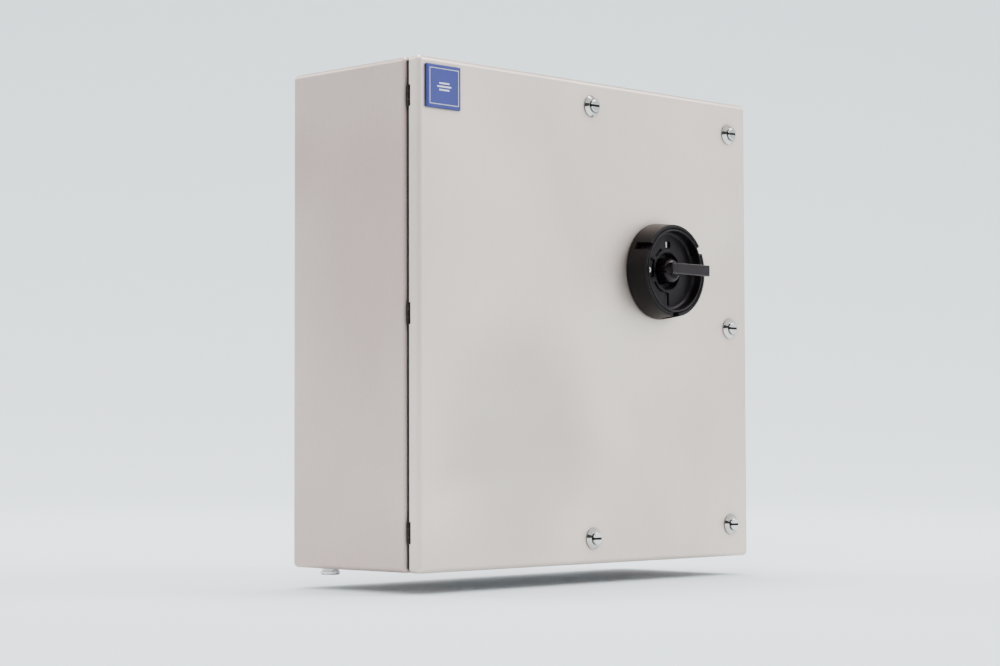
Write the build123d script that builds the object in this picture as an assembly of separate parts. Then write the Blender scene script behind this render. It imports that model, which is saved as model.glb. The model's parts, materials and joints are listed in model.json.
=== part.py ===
from build123d import *
import os
from math import cos, radians, sin

# Fused disconnect switch: a three-pole switch-fuse in a stainless wall enclosure.
# Millimetres. The origin is the centre of the back face, at the wall. +X is right,
# +Z is up and the door faces -Y. Handle and lock pieces are drawn in front-view
# coordinates (x right, y up, z out of the door) and set on the door by on_door().

# ---- Enclosure ----
width = 400.0
height = 400.0
depth = 150.0
sheet = 1.5
bend_radius = 4.0
door_depth = 11.0
door_gap = 4.5
rim_inset = 8.0
rim_rise = 8.3
rim_corner = 6.0
wall_hole_inset = 25.0
wall_hole_radius = 4.5

# ---- Door gasket ----
gasket_width = 6.5
gasket_rim_gap = 0.2

# ---- Hinges ----
hinge_heights = (169.0, 0.0, -169.0)
hinge_axis_inset = 2.5
hinge_axis_stand = 3.0
knuckle_radius = 2.4
hinge_pin_radius = 1.2
hinge_running_gap = 0.05
hinge_length = 16.0
body_knuckle_length = 6.0
knuckle_gap = 0.2
notch_length = 17.0
notch_depth = 1.4
pin_head_radius = 1.6
pin_head_height = 0.6

# ---- Quarter-turn locks ----
lock_offset_x = 3.0
lock_inset_top = 21.0
lock_inset_side = 24.5
lock_height_side = 172.0
lock_collar_radius = 9.0
lock_collar_height = 3.6
lock_barrel_radius = 6.5
lock_barrel_flats = 11.6
lock_plug_radius = 5.25
lock_plug_height = 5.5
lock_plug_seat = 1.0
lock_spindle_radius = 3.6
lock_running_gap = 0.05
lock_nut_flats = 17.0
lock_nut_height = 3.5
lock_slot_width = 2.0
lock_slot_depth = 2.2
seal_inner_radius = 7.0
seal_outer_radius = 8.2
seal_thickness = 0.8
cam_thickness = 2.5
cam_clearance = 3.6
cam_width = 10.0
cam_hub_radius = 7.0
cam_edge_gap = 3.5
cam_square = 5.0

# ---- Rotary handle ----
handle_x = 80.0
handle_z = 45.4
handle_radius = 39.0
collar_flare = 2.0
handle_height = 20.0
handle_gasket_thickness = 1.0
collar_wall = 3.0
collar_flange = 1.5
dial_gap = 0.6
dial_wall = 1.9
dish_floor = 11.0
dish_foot_radius = 3.0
floor_thickness = 2.5
well_radius = 15.6
well_floor = 4.5
dial_core_radius = 18.5
dial_boss_radius = 11.0
dial_boss_reach = 3.0
padlock_angles = (30.0, 150.0, 270.0)
padlock_width = 7.0
padlock_depth = 14.0
padlock_bridge = 2.6
groove_radius = 19.5
groove_width = 2.6
groove_depth = 1.8
bracket_radial = 5.5
mark_height = 0.4
mark_on_radius = 22.6
on_recess_radius = 3.6
on_recess_depth = 1.8
mark_off_place = 0.38
mark_off_size = 0.245
fixing_wall_gap = 3.0
fixing_flange_land = 5.0
fixing_angles = (90.0, 210.0, 330.0)
fixing_radius = 2.0
fixing_boss_radius = 4.5
fixing_head_radius = 3.8
fixing_head_height = 2.6
grip_length = 50.0
grip_thickness = 9.4
grip_web = 5.4
grip_lip = 4.5
grip_slope = 7.0
grip_height = 37.5
grip_foot = 28.8
hub_radius = 11.5
hub_top_radius = 10.2
hub_top = 18.0
hub_dome = 4.0
hub_gap = 0.5
stub_radius = 5.5
stub_reach = 11.0
coupler_radius = 10.0
coupler_reach = 22.0
coupler_gap = 0.3
grub_radius = 2.0

# ---- Badge ----
badge_width = 37.0
badge_height = 34.0
badge_inset = 6.4
badge_base_thickness = 1.6
badge_face_thickness = 0.9
badge_border = 1.0

# ---- Mounting plate ----
plate_width = 330.0
plate_height = 330.0
plate_thickness = 2.5
plate_stand = 10.0
plate_stud_inset = 15.0
stud_radius = 4.0
stud_shoulder_radius = 7.0
stud_length = 12.0
m8_flats = 13.0
m8_nut_height = 6.5
thread_gap = 0.05
hole_gap = 0.3

# ---- Earth screw through the bottom, and the earth bar ----
earth_x = -170.0
earth_y = -12.5
earth_thin_nut = 3.9
earth_head_radius = 8.0
earth_head_height = 2.8
washer_radius = 8.0
washer_thickness = 1.6
earth_shank_rise = 12.0
bar_length = 120.0
bar_height = 12.0
bar_thickness = 8.0
bar_stand = 15.0
bar_z = -114.0
bar_screws = 8
bar_screw_radius = 2.5
bar_wire_radius = 2.5
bar_head_radius = 4.4
bar_head_height = 3.2

# ---- Cable-entry plate in the bottom ----
entry_length = 220.0
entry_front_gap = 14.0
entry_back_gap = 2.0
entry_corner = 5.0
entry_overlap = 14.0
entry_gasket_thickness = 1.2
entry_plate_thickness = 2.0
entry_screw_radius = 2.5
entry_head_radius = 4.6
entry_head_height = 3.0

# ---- Switch-fuse unit ----
base_thickness = 20.0
pole_count = 3
pole_pitch = 46.0
barrier = 2.5
barrier_depth = 47.5
unit_top = 140.0
unit_bottom = -60.0
housing_width = 55.0
housing_depth = 60.0
housing_top = 102.0
housing_bottom = -10.0
housing_wall = 2.5
strip_thickness = 4.0
strip_half_width = 10.0
leaf_thickness = 1.5
rotor_z = 82.0
rotor_stand = 23.5
rotor_radius = 8.0
rotor_gap = 0.6
rotor_swing = 60.0
blade_half_length = 20.0
blade_half_width = 5.0
blade_thickness = 3.0
blade_gap = 0.3
jaw_gap_above = 12.0
jaw_height = 14.0
jaw_depth = 25.0
fuse_z = 20.0
fuse_stand = 25.5
fuse_body = (30.0, 36.0, 50.0)
fuse_tag_length = 12.0
fuse_tag_width = 15.0
fuse_tag_thickness = 6.0
fuse_clip_height = 9.5
terminal_inset = 16.0
terminal_head_height = 5.3
cover_height = 56.0
cover_thickness = 3.0
cover_side_gap = 0.6
cover_front_gap = 1.5
cover_rod_radius = 1.6
cover_barrel_radius = 3.6
cover_rod_drop = 10.0
ear_height = 9.0
shaft_square = 8.0
shaft_engagement = 5.0
shaft_socket_gap = 0.6
journal_radius = 6.0
journal_gap = 0.3
drum_radius = 15.0
drum_length = 12.0
base_screw_radius = 2.5
base_head_radius = 4.2
base_head_height = 3.2

# ---- Planes and places worked out from the sizes above ----
left, right = -width / 2, width / 2
bottom, top = -height / 2, height / 2
door_face = -depth
door_inside = door_face + sheet
flange_end = door_face + door_depth
body_front = flange_end + door_gap
body_inside = body_front + sheet
rim_tip = body_front - rim_rise
hinge_x = left + hinge_axis_inset
hinge_y = body_front - hinge_axis_stand
plate_back = -plate_stand
plate_front = plate_back - plate_thickness
entry_front = body_inside + entry_front_gap + entry_overlap
entry_back = plate_front - m8_nut_height - entry_back_gap - entry_overlap
entry_depth = entry_back - entry_front
entry_y = (entry_back + entry_front) / 2
base_front = plate_front - base_thickness
barrier_front = base_front - barrier_depth
housing_left = handle_x - housing_width / 2 - 1.0
housing_right = housing_left + housing_width
housing_front = base_front - housing_depth
bays_left = housing_left - pole_count * pole_pitch
pole_xs = [bays_left + (i + 0.5) * pole_pitch for i in range(pole_count)]
strip_front = base_front - strip_thickness
rotor_y = base_front - rotor_stand
fuse_y = base_front - fuse_stand
cover_back = barrier_front - cover_front_gap
cover_rod_y = cover_back - cover_thickness / 2
cover_rod_z = fuse_z - fuse_body[2] / 2 - cover_rod_drop + 3.0
dial_radius = handle_radius - collar_wall - dial_gap
dish_radius = dial_radius - dial_wall
fixing_circle = dish_radius - fixing_boss_radius - fixing_wall_gap
collar_flange_radius = fixing_circle - fixing_flange_land
mark_band_start = groove_radius + groove_width / 2
mark_band = dish_radius - dish_foot_radius - mark_band_start
collar_seat = handle_gasket_thickness
dial_seat = collar_seat + collar_flange
cam_front = body_inside - door_face + cam_clearance
locks = {
    "top": (-lock_offset_x, top - lock_inset_top, 180.0, lock_inset_top),
    "bottom": (-lock_offset_x, bottom + lock_inset_top, 0.0, lock_inset_top),
    "upper": (right - lock_inset_side, lock_height_side, -90.0, lock_inset_side),
    "middle": (right - lock_inset_side, 0.0, 90.0, lock_inset_side),
    "lower": (right - lock_inset_side, -lock_height_side, 90.0, lock_inset_side),
}


# ---- Small builders ----
def slab(x0, x1, y0, y1, z0, z1):
    middle = Pos((x0 + x1) / 2, (y0 + y1) / 2, (z0 + z1) / 2)
    return middle * Box(abs(x1 - x0), abs(y1 - y0), abs(z1 - z0))


def rod_y(radius, x, z, y0, y1):
    return Pos(x, (y0 + y1) / 2, z) * Rot(90, 0, 0) * Cylinder(radius, abs(y1 - y0))


def rod_x(radius, y, z, x0, x1):
    return Pos((x0 + x1) / 2, y, z) * Rot(0, 90, 0) * Cylinder(radius, abs(x1 - x0))


def rod_z(radius, x, y, z0, z1):
    return Pos(x, y, (z0 + z1) / 2) * Cylinder(radius, abs(z1 - z0))


def disc(radius, z0, z1, x=0.0, y=0.0):
    return rod_z(radius, x, y, z0, z1)


def hex_prism(flats, z0, z1):
    outline = RegularPolygon(flats / 2, 6, major_radius=False)
    return Pos(0, 0, min(z0, z1)) * extrude(outline, abs(z1 - z0))


def rounded_plate(length, breadth, corner, z0, z1):
    outline = RectangleRounded(length, breadth, corner)
    return Pos(0, 0, min(z0, z1)) * extrude(outline, abs(z1 - z0))


def facing_front(x, y, z):
    """Front-view coordinates, with their origin at a point of the object."""
    return Pos(x, y, z) * Rot(90, 0, 0)


def on_door(x, z):
    return facing_front(x, door_face, z)


def polar(radius, angle):
    return radius * cos(radians(angle)), radius * sin(radians(angle))


def frame_ring(outer_inset, inner_inset, outer_corner, y_back, y_front):
    """A rectangular ring that follows the enclosure's outline, along Y."""
    breadth = inner_inset - outer_inset
    outer = rounded_plate(width - 2 * outer_inset, height - 2 * outer_inset, outer_corner,
                          0, y_back - y_front)
    inner = rounded_plate(width - 2 * inner_inset, height - 2 * inner_inset,
                          max(outer_corner - breadth, 0.5), 0, y_back - y_front)
    return facing_front(0, y_back, 0) * (outer - inner)


# ---- Enclosure ----
def enclosure_body():
    shell = fillet(slab(left, right, body_front, 0, bottom, top).edges(), bend_radius)
    cavity = slab(left + sheet, right - sheet, body_inside, -sheet, bottom + sheet, top - sheet)
    shell -= fillet(cavity.edges(), bend_radius - sheet)
    opening_inset = rim_inset + sheet
    opening = rounded_plate(width - 2 * opening_inset, height - 2 * opening_inset,
                            rim_corner - sheet, 0, 3 * sheet)
    shell -= facing_front(0, body_inside + sheet, 0) * opening
    shell += frame_ring(rim_inset, opening_inset, rim_corner, body_inside, rim_tip)
    for x, z in wall_hole_places():
        shell -= rod_y(wall_hole_radius, x, z, -2 * sheet, sheet)
    entry = rounded_plate(entry_length, entry_depth, entry_corner, bottom - sheet, bottom + 2 * sheet)
    shell -= Pos(0, entry_y, 0) * entry
    for x, y in entry_screw_places():
        shell -= rod_z(entry_screw_radius + thread_gap, x, y, bottom - sheet, bottom + 2 * sheet)
    shell -= rod_z(stud_radius + hole_gap, earth_x, earth_y, bottom - sheet, bottom + 2 * sheet)
    return shell


def wall_hole_places():
    reach_x = right - wall_hole_inset
    reach_z = top - wall_hole_inset
    return [(sx * reach_x, sz * reach_z) for sx in (-1, 1) for sz in (-1, 1)]


def entry_screw_places():
    reach_x = entry_length / 2 + entry_overlap / 2
    reach_y = entry_depth / 2 + entry_overlap / 2
    corners = [(sx * reach_x, entry_y + sy * reach_y) for sx in (-1, 1) for sy in (-1, 1)]
    return corners + [(0, entry_y - reach_y), (0, entry_y + reach_y)]


def entry_layer(z0, z1, inner_cut):
    layer = rounded_plate(entry_length + 2 * entry_overlap, entry_depth + 2 * entry_overlap,
                          entry_corner, z0, z1)
    if inner_cut:
        layer -= rounded_plate(entry_length, entry_depth, entry_corner, z0, z1)
    layer = Pos(0, entry_y, 0) * layer
    for x, y in entry_screw_places():
        layer -= rod_z(entry_screw_radius + hole_gap, x, y, z0, z1)
    return layer


def entry_screw(x, y):
    seat = bottom + sheet + entry_gasket_thickness + entry_plate_thickness
    head = rod_z(entry_head_radius, x, y, seat, seat + entry_head_height)
    head = fillet(head.edges().group_by(Axis.Z)[-1], entry_head_height / 3)
    head -= Pos(x, y, 0) * hex_prism(entry_screw_radius * 1.2, seat + entry_head_height / 3,
                                     seat + entry_head_height)
    return head + rod_z(entry_screw_radius, x, y, bottom, seat)


# ---- Mounting plate ----
def plate_stud_places():
    reach_x = plate_width / 2 - plate_stud_inset
    reach_z = plate_height / 2 - plate_stud_inset
    return [(sx * reach_x, sz * reach_z) for sx in (-1, 1) for sz in (-1, 1)]


def mounting_plate():
    outline = rounded_plate(plate_width, plate_height, bend_radius, 0, plate_thickness)
    plate = facing_front(0, plate_back, 0) * outline
    for x, z in plate_stud_places():
        plate -= rod_y(stud_radius + hole_gap, x, z, plate_back, plate_front)
    for x, z in base_screw_places():
        plate -= rod_y(base_screw_radius + thread_gap, x, z, plate_back, plate_front)
    for x in bar_post_xs():
        plate -= rod_y(bar_screw_radius + thread_gap, x, bar_z, plate_back, plate_front)
    return plate


def plate_stud(x, z):
    shoulder = rod_y(stud_shoulder_radius, x, z, -sheet, plate_back)
    return shoulder + rod_y(stud_radius, x, z, plate_back, plate_back - stud_length)


def m8_nut(thickness):
    nut = hex_prism(m8_flats, 0, thickness)
    nut = chamfer_corners(nut, m8_flats, thickness)
    return nut - disc(stud_radius + thread_gap, 0, thickness)


def chamfer_corners(prism, flats, thickness):
    """Takes the six corners of a nut down to a cone at each face."""
    bite = thickness * 0.12
    barrel = disc(flats * 0.575, 0, thickness)
    return prism & chamfer(barrel.edges().filter_by(GeomType.CIRCLE), bite)


# ---- Earth screw and earth bar ----
def earth_screw():
    head_top = bottom - earth_thin_nut
    head = rod_z(earth_head_radius, earth_x, earth_y, head_top - earth_head_height, head_top)
    head = fillet(head.edges().group_by(Axis.Z)[0], earth_head_height * 0.4)
    slot = slab(earth_x - earth_head_radius, earth_x + earth_head_radius,
                earth_y - 0.9, earth_y + 0.9,
                head_top - earth_head_height, head_top - earth_head_height * 0.55)
    shank = rod_z(stud_radius, earth_x, earth_y, head_top, bottom + sheet + earth_shank_rise)
    return head - slot + shank


def earth_nuts():
    thin = Pos(earth_x, earth_y, bottom - earth_thin_nut) * m8_nut(earth_thin_nut)
    seat = bottom + sheet + washer_thickness
    full = Pos(earth_x, earth_y, seat) * m8_nut(m8_nut_height)
    return [thin, full]


def earth_washer():
    ring = rod_z(washer_radius, earth_x, earth_y, bottom + sheet, bottom + sheet + washer_thickness)
    return ring - rod_z(stud_radius + hole_gap, earth_x, earth_y, bottom, bottom + 10 * sheet)


def bar_post_xs():
    reach = bar_length / 2 - bar_height / 2
    return [-reach, reach]


def bar_screw_xs():
    reach = bar_length / 2 - 2.2 * bar_height
    step = 2 * reach / (bar_screws - 3)
    return [-reach + i * step for i in range(bar_screws - 2)]


def earth_bar():
    front = plate_front - bar_stand
    bar = slab(-bar_length / 2, bar_length / 2, front, front - bar_thickness,
               bar_z - bar_height / 2, bar_z + bar_height / 2)
    for x in bar_post_xs() + bar_screw_xs():
        bar -= rod_y(bar_screw_radius + thread_gap, x, bar_z, front, front - bar_thickness)
    for x in bar_screw_xs():
        bar -= rod_z(bar_wire_radius, x, front - bar_thickness / 2, bar_z - bar_height, bar_z)
    return bar


def earth_bar_post(x):
    post = rod_y(bar_height / 2, x, bar_z, plate_front, plate_front - bar_stand)
    return post - rod_y(bar_screw_radius + thread_gap, x, bar_z, plate_front, plate_front - bar_stand)


def earth_bar_screw(x, shank_length):
    front = plate_front - bar_stand - bar_thickness
    head = rod_y(bar_head_radius, x, bar_z, front, front - bar_head_height)
    slot = slab(x - bar_head_radius, x + bar_head_radius, front - bar_head_height / 2,
                front - bar_head_height, bar_z - 0.6, bar_z + 0.6)
    return head - slot + rod_y(bar_screw_radius, x, bar_z, front + shank_length, front)


# ---- Switch-fuse unit ----
def base_screw_places():
    return [(bays_left + 8.0, unit_bottom + 6.0), (bays_left + 8.0, unit_top - 6.0),
            (housing_right - 8.0, unit_bottom + 8.0), (housing_right - 8.0, unit_top - 8.0)]


def switch_base():
    base = slab(bays_left, housing_right, plate_front, base_front, unit_bottom, unit_top)
    base = fillet(base.edges().filter_by(Axis.Y), 3.0)
    ear_front = cover_rod_y - ear_height / 2
    for i in range(pole_count + 1):
        x = bays_left + i * pole_pitch
        x0, x1 = (x - barrier, x) if i == pole_count else (x, x + barrier)
        base += slab(x0, x1, base_front, barrier_front, unit_bottom + 3.0, unit_top - 3.0)
        base += slab(x0, x1, barrier_front, ear_front,
                     cover_rod_z - ear_height / 2, cover_rod_z + ear_height / 2)
    base -= rod_x(rotor_radius + rotor_gap, rotor_y, rotor_z, bays_left + barrier, housing_left + 1)
    base -= rod_x(cover_rod_radius + thread_gap, cover_rod_y, cover_rod_z,
                  bays_left - 1, housing_left + 1)
    for x, z in base_screw_places():
        base -= rod_y(base_screw_radius + hole_gap, x, z, plate_front, base_front)
    base -= rod_y(journal_radius + journal_gap, handle_x, handle_z, base_front + 6.0, base_front)
    return base


def base_screw(x, z):
    head = rod_y(base_head_radius, x, z, base_front, base_front - base_head_height)
    slot = hex_prism(base_screw_radius * 1.2, base_head_height / 3, base_head_height)
    head -= facing_front(x, base_front, z) * slot
    return head + rod_y(base_screw_radius, x, z, plate_back, base_front)


def mechanism_housing():
    box = slab(housing_left, housing_right, base_front, housing_front, housing_bottom, housing_top)
    box = fillet(box.edges().filter_by(Axis.Y) + box.faces().sort_by(Axis.Y)[0].edges(), 3.0)
    box -= slab(housing_left + housing_wall, housing_right - housing_wall, base_front,
                housing_front + housing_wall, housing_bottom + housing_wall,
                housing_top - housing_wall)
    box -= rod_x(rotor_radius + rotor_gap, rotor_y, rotor_z,
                 housing_left - 1, housing_left + housing_wall)
    box -= rod_y(journal_radius + journal_gap, handle_x, handle_z,
                 housing_front - 1, housing_front + housing_wall)
    return box


def operating_shaft():
    tip = door_face + coupler_reach - shaft_engagement
    front_end = housing_front - 2.0
    shaft = rod_y(journal_radius, handle_x, handle_z, base_front + 5.0, front_end)
    half = shaft_square / 2
    square = slab(handle_x - half, handle_x + half, front_end, tip, handle_z - half, handle_z + half)
    shaft += chamfer(square.faces().sort_by(Axis.Y)[0].edges(), 0.8)
    drum_back = rotor_y - drum_length / 2
    shaft += rod_y(drum_radius, handle_x, handle_z, drum_back, drum_back - drum_length)
    pin_x = handle_x - drum_radius + 4.0
    shaft += rod_y(2.5, pin_x, handle_z, drum_back + 5.0, drum_back)
    return shaft


def contact_rotor():
    inner_end = housing_left + housing_wall + 7.0
    bar = rod_x(rotor_radius, rotor_y, rotor_z, bays_left + barrier + rotor_gap, inner_end)
    crank = rod_x(rotor_radius + 3.5, rotor_y, rotor_z, inner_end - 4.0, inner_end)
    pin = rod_x(2.0, rotor_y, rotor_z - rotor_radius, inner_end, inner_end + 3.0)
    bar += crank + pin
    for x in pole_xs:
        bar -= rotor_blade(x, 0.05)
    return bar


def rotor_blade(x, spare):
    half = blade_thickness / 2 + spare
    blade = Box(2 * half, 2 * (blade_half_width + spare), 2 * (blade_half_length + spare))
    if not spare:
        blade = fillet(blade.edges().filter_by(Axis.X), 2.5)
    return Pos(x, rotor_y, rotor_z) * Rot(rotor_swing, 0, 0) * blade


def leaf_pair(x, half_gap, z0, z1, reach):
    pair = slab(x - half_gap - leaf_thickness, x - half_gap, strip_front, strip_front - reach, z0, z1)
    return pair + slab(x + half_gap, x + half_gap + leaf_thickness, strip_front,
                       strip_front - reach, z0, z1)


def copper_strip(x, z0, z1):
    return slab(x - strip_half_width, x + strip_half_width, base_front, strip_front, z0, z1)


def line_terminal(x):
    jaw_bottom = rotor_z + jaw_gap_above
    strip = copper_strip(x, jaw_bottom, unit_top - 4.0)
    strip += leaf_pair(x, blade_thickness / 2 + blade_gap, jaw_bottom, jaw_bottom + jaw_height,
                       jaw_depth)
    return strip - terminal_bore(x, unit_top - terminal_inset)


def fuse_tag_top():
    return fuse_z + fuse_body[2] / 2 + fuse_tag_length


def centre_contact(x):
    jaw_top = rotor_z - jaw_gap_above
    clip_bottom = fuse_z + fuse_body[2] / 2 + 1.0
    strip = copper_strip(x, clip_bottom, jaw_top)
    jaw_bottom = fuse_tag_top() + 1.5
    strip += leaf_pair(x, blade_thickness / 2 + blade_gap, jaw_bottom, jaw_top, jaw_depth)
    strip += leaf_pair(x, fuse_tag_thickness / 2, clip_bottom, clip_bottom + fuse_clip_height,
                       fuse_stand + fuse_tag_width / 2 - strip_thickness + 1.0)
    return strip


def load_terminal(x):
    clip_top = fuse_z - fuse_body[2] / 2 - 1.0
    strip = copper_strip(x, unit_bottom + 4.0, clip_top)
    strip += leaf_pair(x, fuse_tag_thickness / 2, clip_top - fuse_clip_height, clip_top,
                       fuse_stand + fuse_tag_width / 2 - strip_thickness + 1.0)
    return strip - terminal_bore(x, unit_bottom + terminal_inset)


def terminal_bore(x, z):
    return rod_y(stud_radius + hole_gap, x, z, base_front, strip_front)


def terminal_places():
    return [(x, z) for x in pole_xs for z in (unit_top - terminal_inset, unit_bottom + terminal_inset)]


def terminal_screw(x, z):
    seat = strip_front - washer_thickness
    head = hex_prism(m8_flats, 0, terminal_head_height)
    head = chamfer_corners(head, m8_flats, terminal_head_height)
    return facing_front(x, seat, z) * head + rod_y(stud_radius, x, z, base_front, seat)


def terminal_washer(x, z):
    ring = rod_y(washer_radius, x, z, strip_front, strip_front - washer_thickness)
    return ring - rod_y(stud_radius + hole_gap, x, z, strip_front, strip_front - washer_thickness)


def fuse_link(x):
    body = fillet(Box(*fuse_body).edges(), 2.0)
    tag_reach = fuse_body[2] / 2 + fuse_tag_length
    tag = Box(fuse_tag_thickness, fuse_tag_width, 2 * tag_reach)
    body += chamfer(tag.edges().filter_by(Axis.X), 1.5)
    for end in (-1, 1):
        cap = Box(fuse_body[0] - 1.0, fuse_body[1] - 1.0, 1.6)
        body += Pos(0, 0, end * (fuse_body[2] / 2 - 0.1)) * cap
    return Pos(x, fuse_y, fuse_z) * body


def fuse_cover(x):
    half = (pole_pitch - barrier) / 2 - cover_side_gap
    centre = x + barrier / 2 if x < pole_xs[-1] else x
    if x == pole_xs[-1]:
        half -= barrier / 2
    plate_z0 = cover_rod_z + cover_barrel_radius - 1.5
    plate = slab(centre - half, centre + half, cover_back, cover_back - cover_thickness,
                 plate_z0, cover_rod_z + cover_height)
    plate = fillet(plate.edges().group_by(Axis.Z)[-1].filter_by(Axis.Y), 3.0)
    plate += rod_x(cover_barrel_radius, cover_rod_y, cover_rod_z, centre - half, centre + half)
    tab_z = cover_rod_z + cover_height - 6.0
    plate += slab(centre - 9.0, centre + 9.0, cover_back - cover_thickness,
                  cover_back - cover_thickness - 4.0, tab_z, tab_z + 3.0)
    window = Pos(centre, cover_back, fuse_z) * Rot(90, 0, 0) * extrude(
        SlotOverall(24.0, 8.0, rotation=90), cover_thickness, both=True)
    plate -= window
    return plate - rod_x(cover_rod_radius + hinge_running_gap, cover_rod_y, cover_rod_z,
                         centre - half, centre + half)


def cover_rod():
    return rod_x(cover_rod_radius, cover_rod_y, cover_rod_z, bays_left, housing_left - 0.2)


# ---- Hinges ----
def hinge_body_leaf(z):
    half = body_knuckle_length / 2
    leaf = rod_z(knuckle_radius, hinge_x, hinge_y, z - half, z + half)
    strap_end = left + rim_inset - 0.5
    leaf += slab(hinge_x, strap_end, body_front, body_front - 2.0, z - half, z + half)
    return leaf - rod_z(hinge_pin_radius, hinge_x, hinge_y, z - half, z + half)


def hinge_door_leaf(z):
    half = hinge_length / 2
    gap_half = body_knuckle_length / 2 + knuckle_gap
    leaf = rod_z(knuckle_radius, hinge_x, hinge_y, z - half, z + half)
    leaf_end = door_face + bend_radius
    leaf += slab(left + sheet, left + 2 * sheet, hinge_y, leaf_end, z - half, z + half)
    leaf -= rod_z(knuckle_radius + 4 * knuckle_gap, hinge_x, hinge_y, z - gap_half, z + gap_half)
    return leaf - rod_z(hinge_pin_radius + hinge_running_gap, hinge_x, hinge_y, z - half, z + half)


def hinge_pin(z):
    half = hinge_length / 2
    pin = rod_z(hinge_pin_radius, hinge_x, hinge_y, z - half, z + half)
    return pin + rod_z(pin_head_radius, hinge_x, hinge_y, z + half, z + half + pin_head_height)


# ---- Door ----
def door_panel():
    pan = slab(left, right, door_face, flange_end, bottom, top)
    pan = fillet(pan.edges().filter_by(Axis.Y) + pan.faces().sort_by(Axis.Y)[0].edges(), bend_radius)
    hollow = slab(left + sheet, right - sheet, door_inside, flange_end, bottom + sheet, top - sheet)
    inner_edges = hollow.edges().filter_by(Axis.Y) + hollow.faces().sort_by(Axis.Y)[0].edges()
    pan -= fillet(inner_edges, bend_radius - sheet)
    for z in hinge_heights:
        pan -= slab(left, left + sheet, flange_end - notch_depth, flange_end,
                    z - notch_length / 2, z + notch_length / 2)
    for x, z, _, _ in locks.values():
        pan -= on_door(x, z) * lock_barrel(0.1, sheet + 0.1, 0)
    pan -= on_door(handle_x, handle_z) * disc(dial_boss_radius + hole_gap, -2 * sheet, sheet)
    for angle in fixing_angles:
        x, y = polar(fixing_circle, angle)
        pan -= on_door(handle_x, handle_z) * disc(fixing_radius + hole_gap, -2 * sheet, sheet, x, y)
    return pan


def door_gasket():
    middle = rim_inset + sheet / 2
    return frame_ring(middle - gasket_width / 2, middle + gasket_width / 2, rim_corner + 2.0,
                      rim_tip - gasket_rim_gap, door_inside)


def badge_plate(inset, back, thickness):
    x0 = left + badge_inset + inset
    z1 = top - badge_inset - inset
    long, tall = badge_width - 2 * inset, badge_height - 2 * inset
    plate = rounded_plate(long, tall, 1.0, back, back + thickness)
    return on_door(x0 + long / 2, z1 - tall / 2) * plate


# ---- Locks ----
def lock_barrel(spare, reach, start):
    barrel = disc(lock_barrel_radius + spare, -reach, start)
    flats = lock_barrel_flats + 2 * spare
    return barrel & Pos(0, 0, -reach / 2) * Box(flats, 3 * lock_barrel_radius, 4 * reach)


def lock_housing():
    collar = disc(lock_collar_radius, 0, lock_collar_height)
    collar = fillet(collar.edges().group_by(Axis.Z)[-1], lock_collar_height * 0.6)
    collar += lock_barrel(0, -cam_back_face() - 0.6, 0)
    collar -= disc(seal_outer_radius + 0.1, 0, seal_thickness) - disc(
        seal_inner_radius - 0.1, 0, seal_thickness)
    collar -= disc(lock_plug_radius + lock_running_gap, -lock_plug_seat, lock_collar_height)
    return collar - disc(lock_spindle_radius + lock_running_gap, -2 * depth, 0)


def cam_back_face():
    """Height of the cam's door-side face above the door, so it is negative."""
    return -cam_front


def lock_plug():
    head = disc(lock_plug_radius, 0.1 - lock_plug_seat, lock_plug_height)
    head = fillet(head.edges().group_by(Axis.Z)[-1], 0.9)
    head -= Pos(0, 0, lock_plug_height - lock_slot_depth / 2) * Box(
        2 * lock_plug_radius, lock_slot_width, lock_slot_depth)
    head += disc(lock_spindle_radius, cam_back_face(), 0.1 - lock_plug_seat)
    square = cam_back_face() - cam_thickness / 2
    head += Pos(0, 0, square) * Box(cam_square, cam_square, cam_thickness)
    rivet_face = cam_back_face() - cam_thickness
    return head + disc(lock_spindle_radius + 0.4, rivet_face - 1.2, rivet_face)


def lock_cam(tongue_angle, inset):
    face = cam_back_face()
    reach = inset - cam_edge_gap
    tongue = disc(cam_hub_radius, face - cam_thickness, face)
    bar = Pos(reach / 2, 0, face - cam_thickness / 2) * Box(reach, cam_width, cam_thickness)
    far_edges = bar.edges().filter_by(Axis.Z).group_by(Axis.X)[-1]
    tongue += fillet(far_edges, cam_width * 0.3)
    tongue -= Pos(0, 0, face - cam_thickness / 2) * Box(
        cam_square + 0.1, cam_square + 0.1, cam_thickness)
    return Rot(0, 0, tongue_angle) * tongue


def lock_nut():
    nut = hex_prism(lock_nut_flats, -sheet - lock_nut_height, -sheet)
    return nut - disc(lock_barrel_radius + thread_gap, -sheet - lock_nut_height, -sheet)


def lock_seal():
    return disc(seal_outer_radius, 0, seal_thickness) - disc(seal_inner_radius, 0, seal_thickness)


# ---- Handle, in front-view coordinates on the door ----
def fixing_bores(body, radius, z0, z1):
    for angle in fixing_angles:
        x, y = polar(fixing_circle, angle)
        body -= disc(radius, z0, z1, x, y)
    return body


def padlock_slots(inner_radius, floor, roof):
    slots = Part()
    for angle in padlock_angles:
        reach = handle_radius + collar_flare + 1.0 - inner_radius
        slot = Pos(inner_radius + reach / 2, 0, (floor + roof) / 2) * Box(
            reach, padlock_width, roof - floor)
        slots += Rot(0, 0, angle) * slot
    return slots


def handle_gasket():
    ring = disc(handle_radius + collar_flare - 1.0, 0, handle_gasket_thickness)
    ring -= disc(collar_flange_radius - 3.5, 0, handle_gasket_thickness)
    return fixing_bores(ring, fixing_radius + hole_gap, 0, handle_gasket_thickness)


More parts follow.
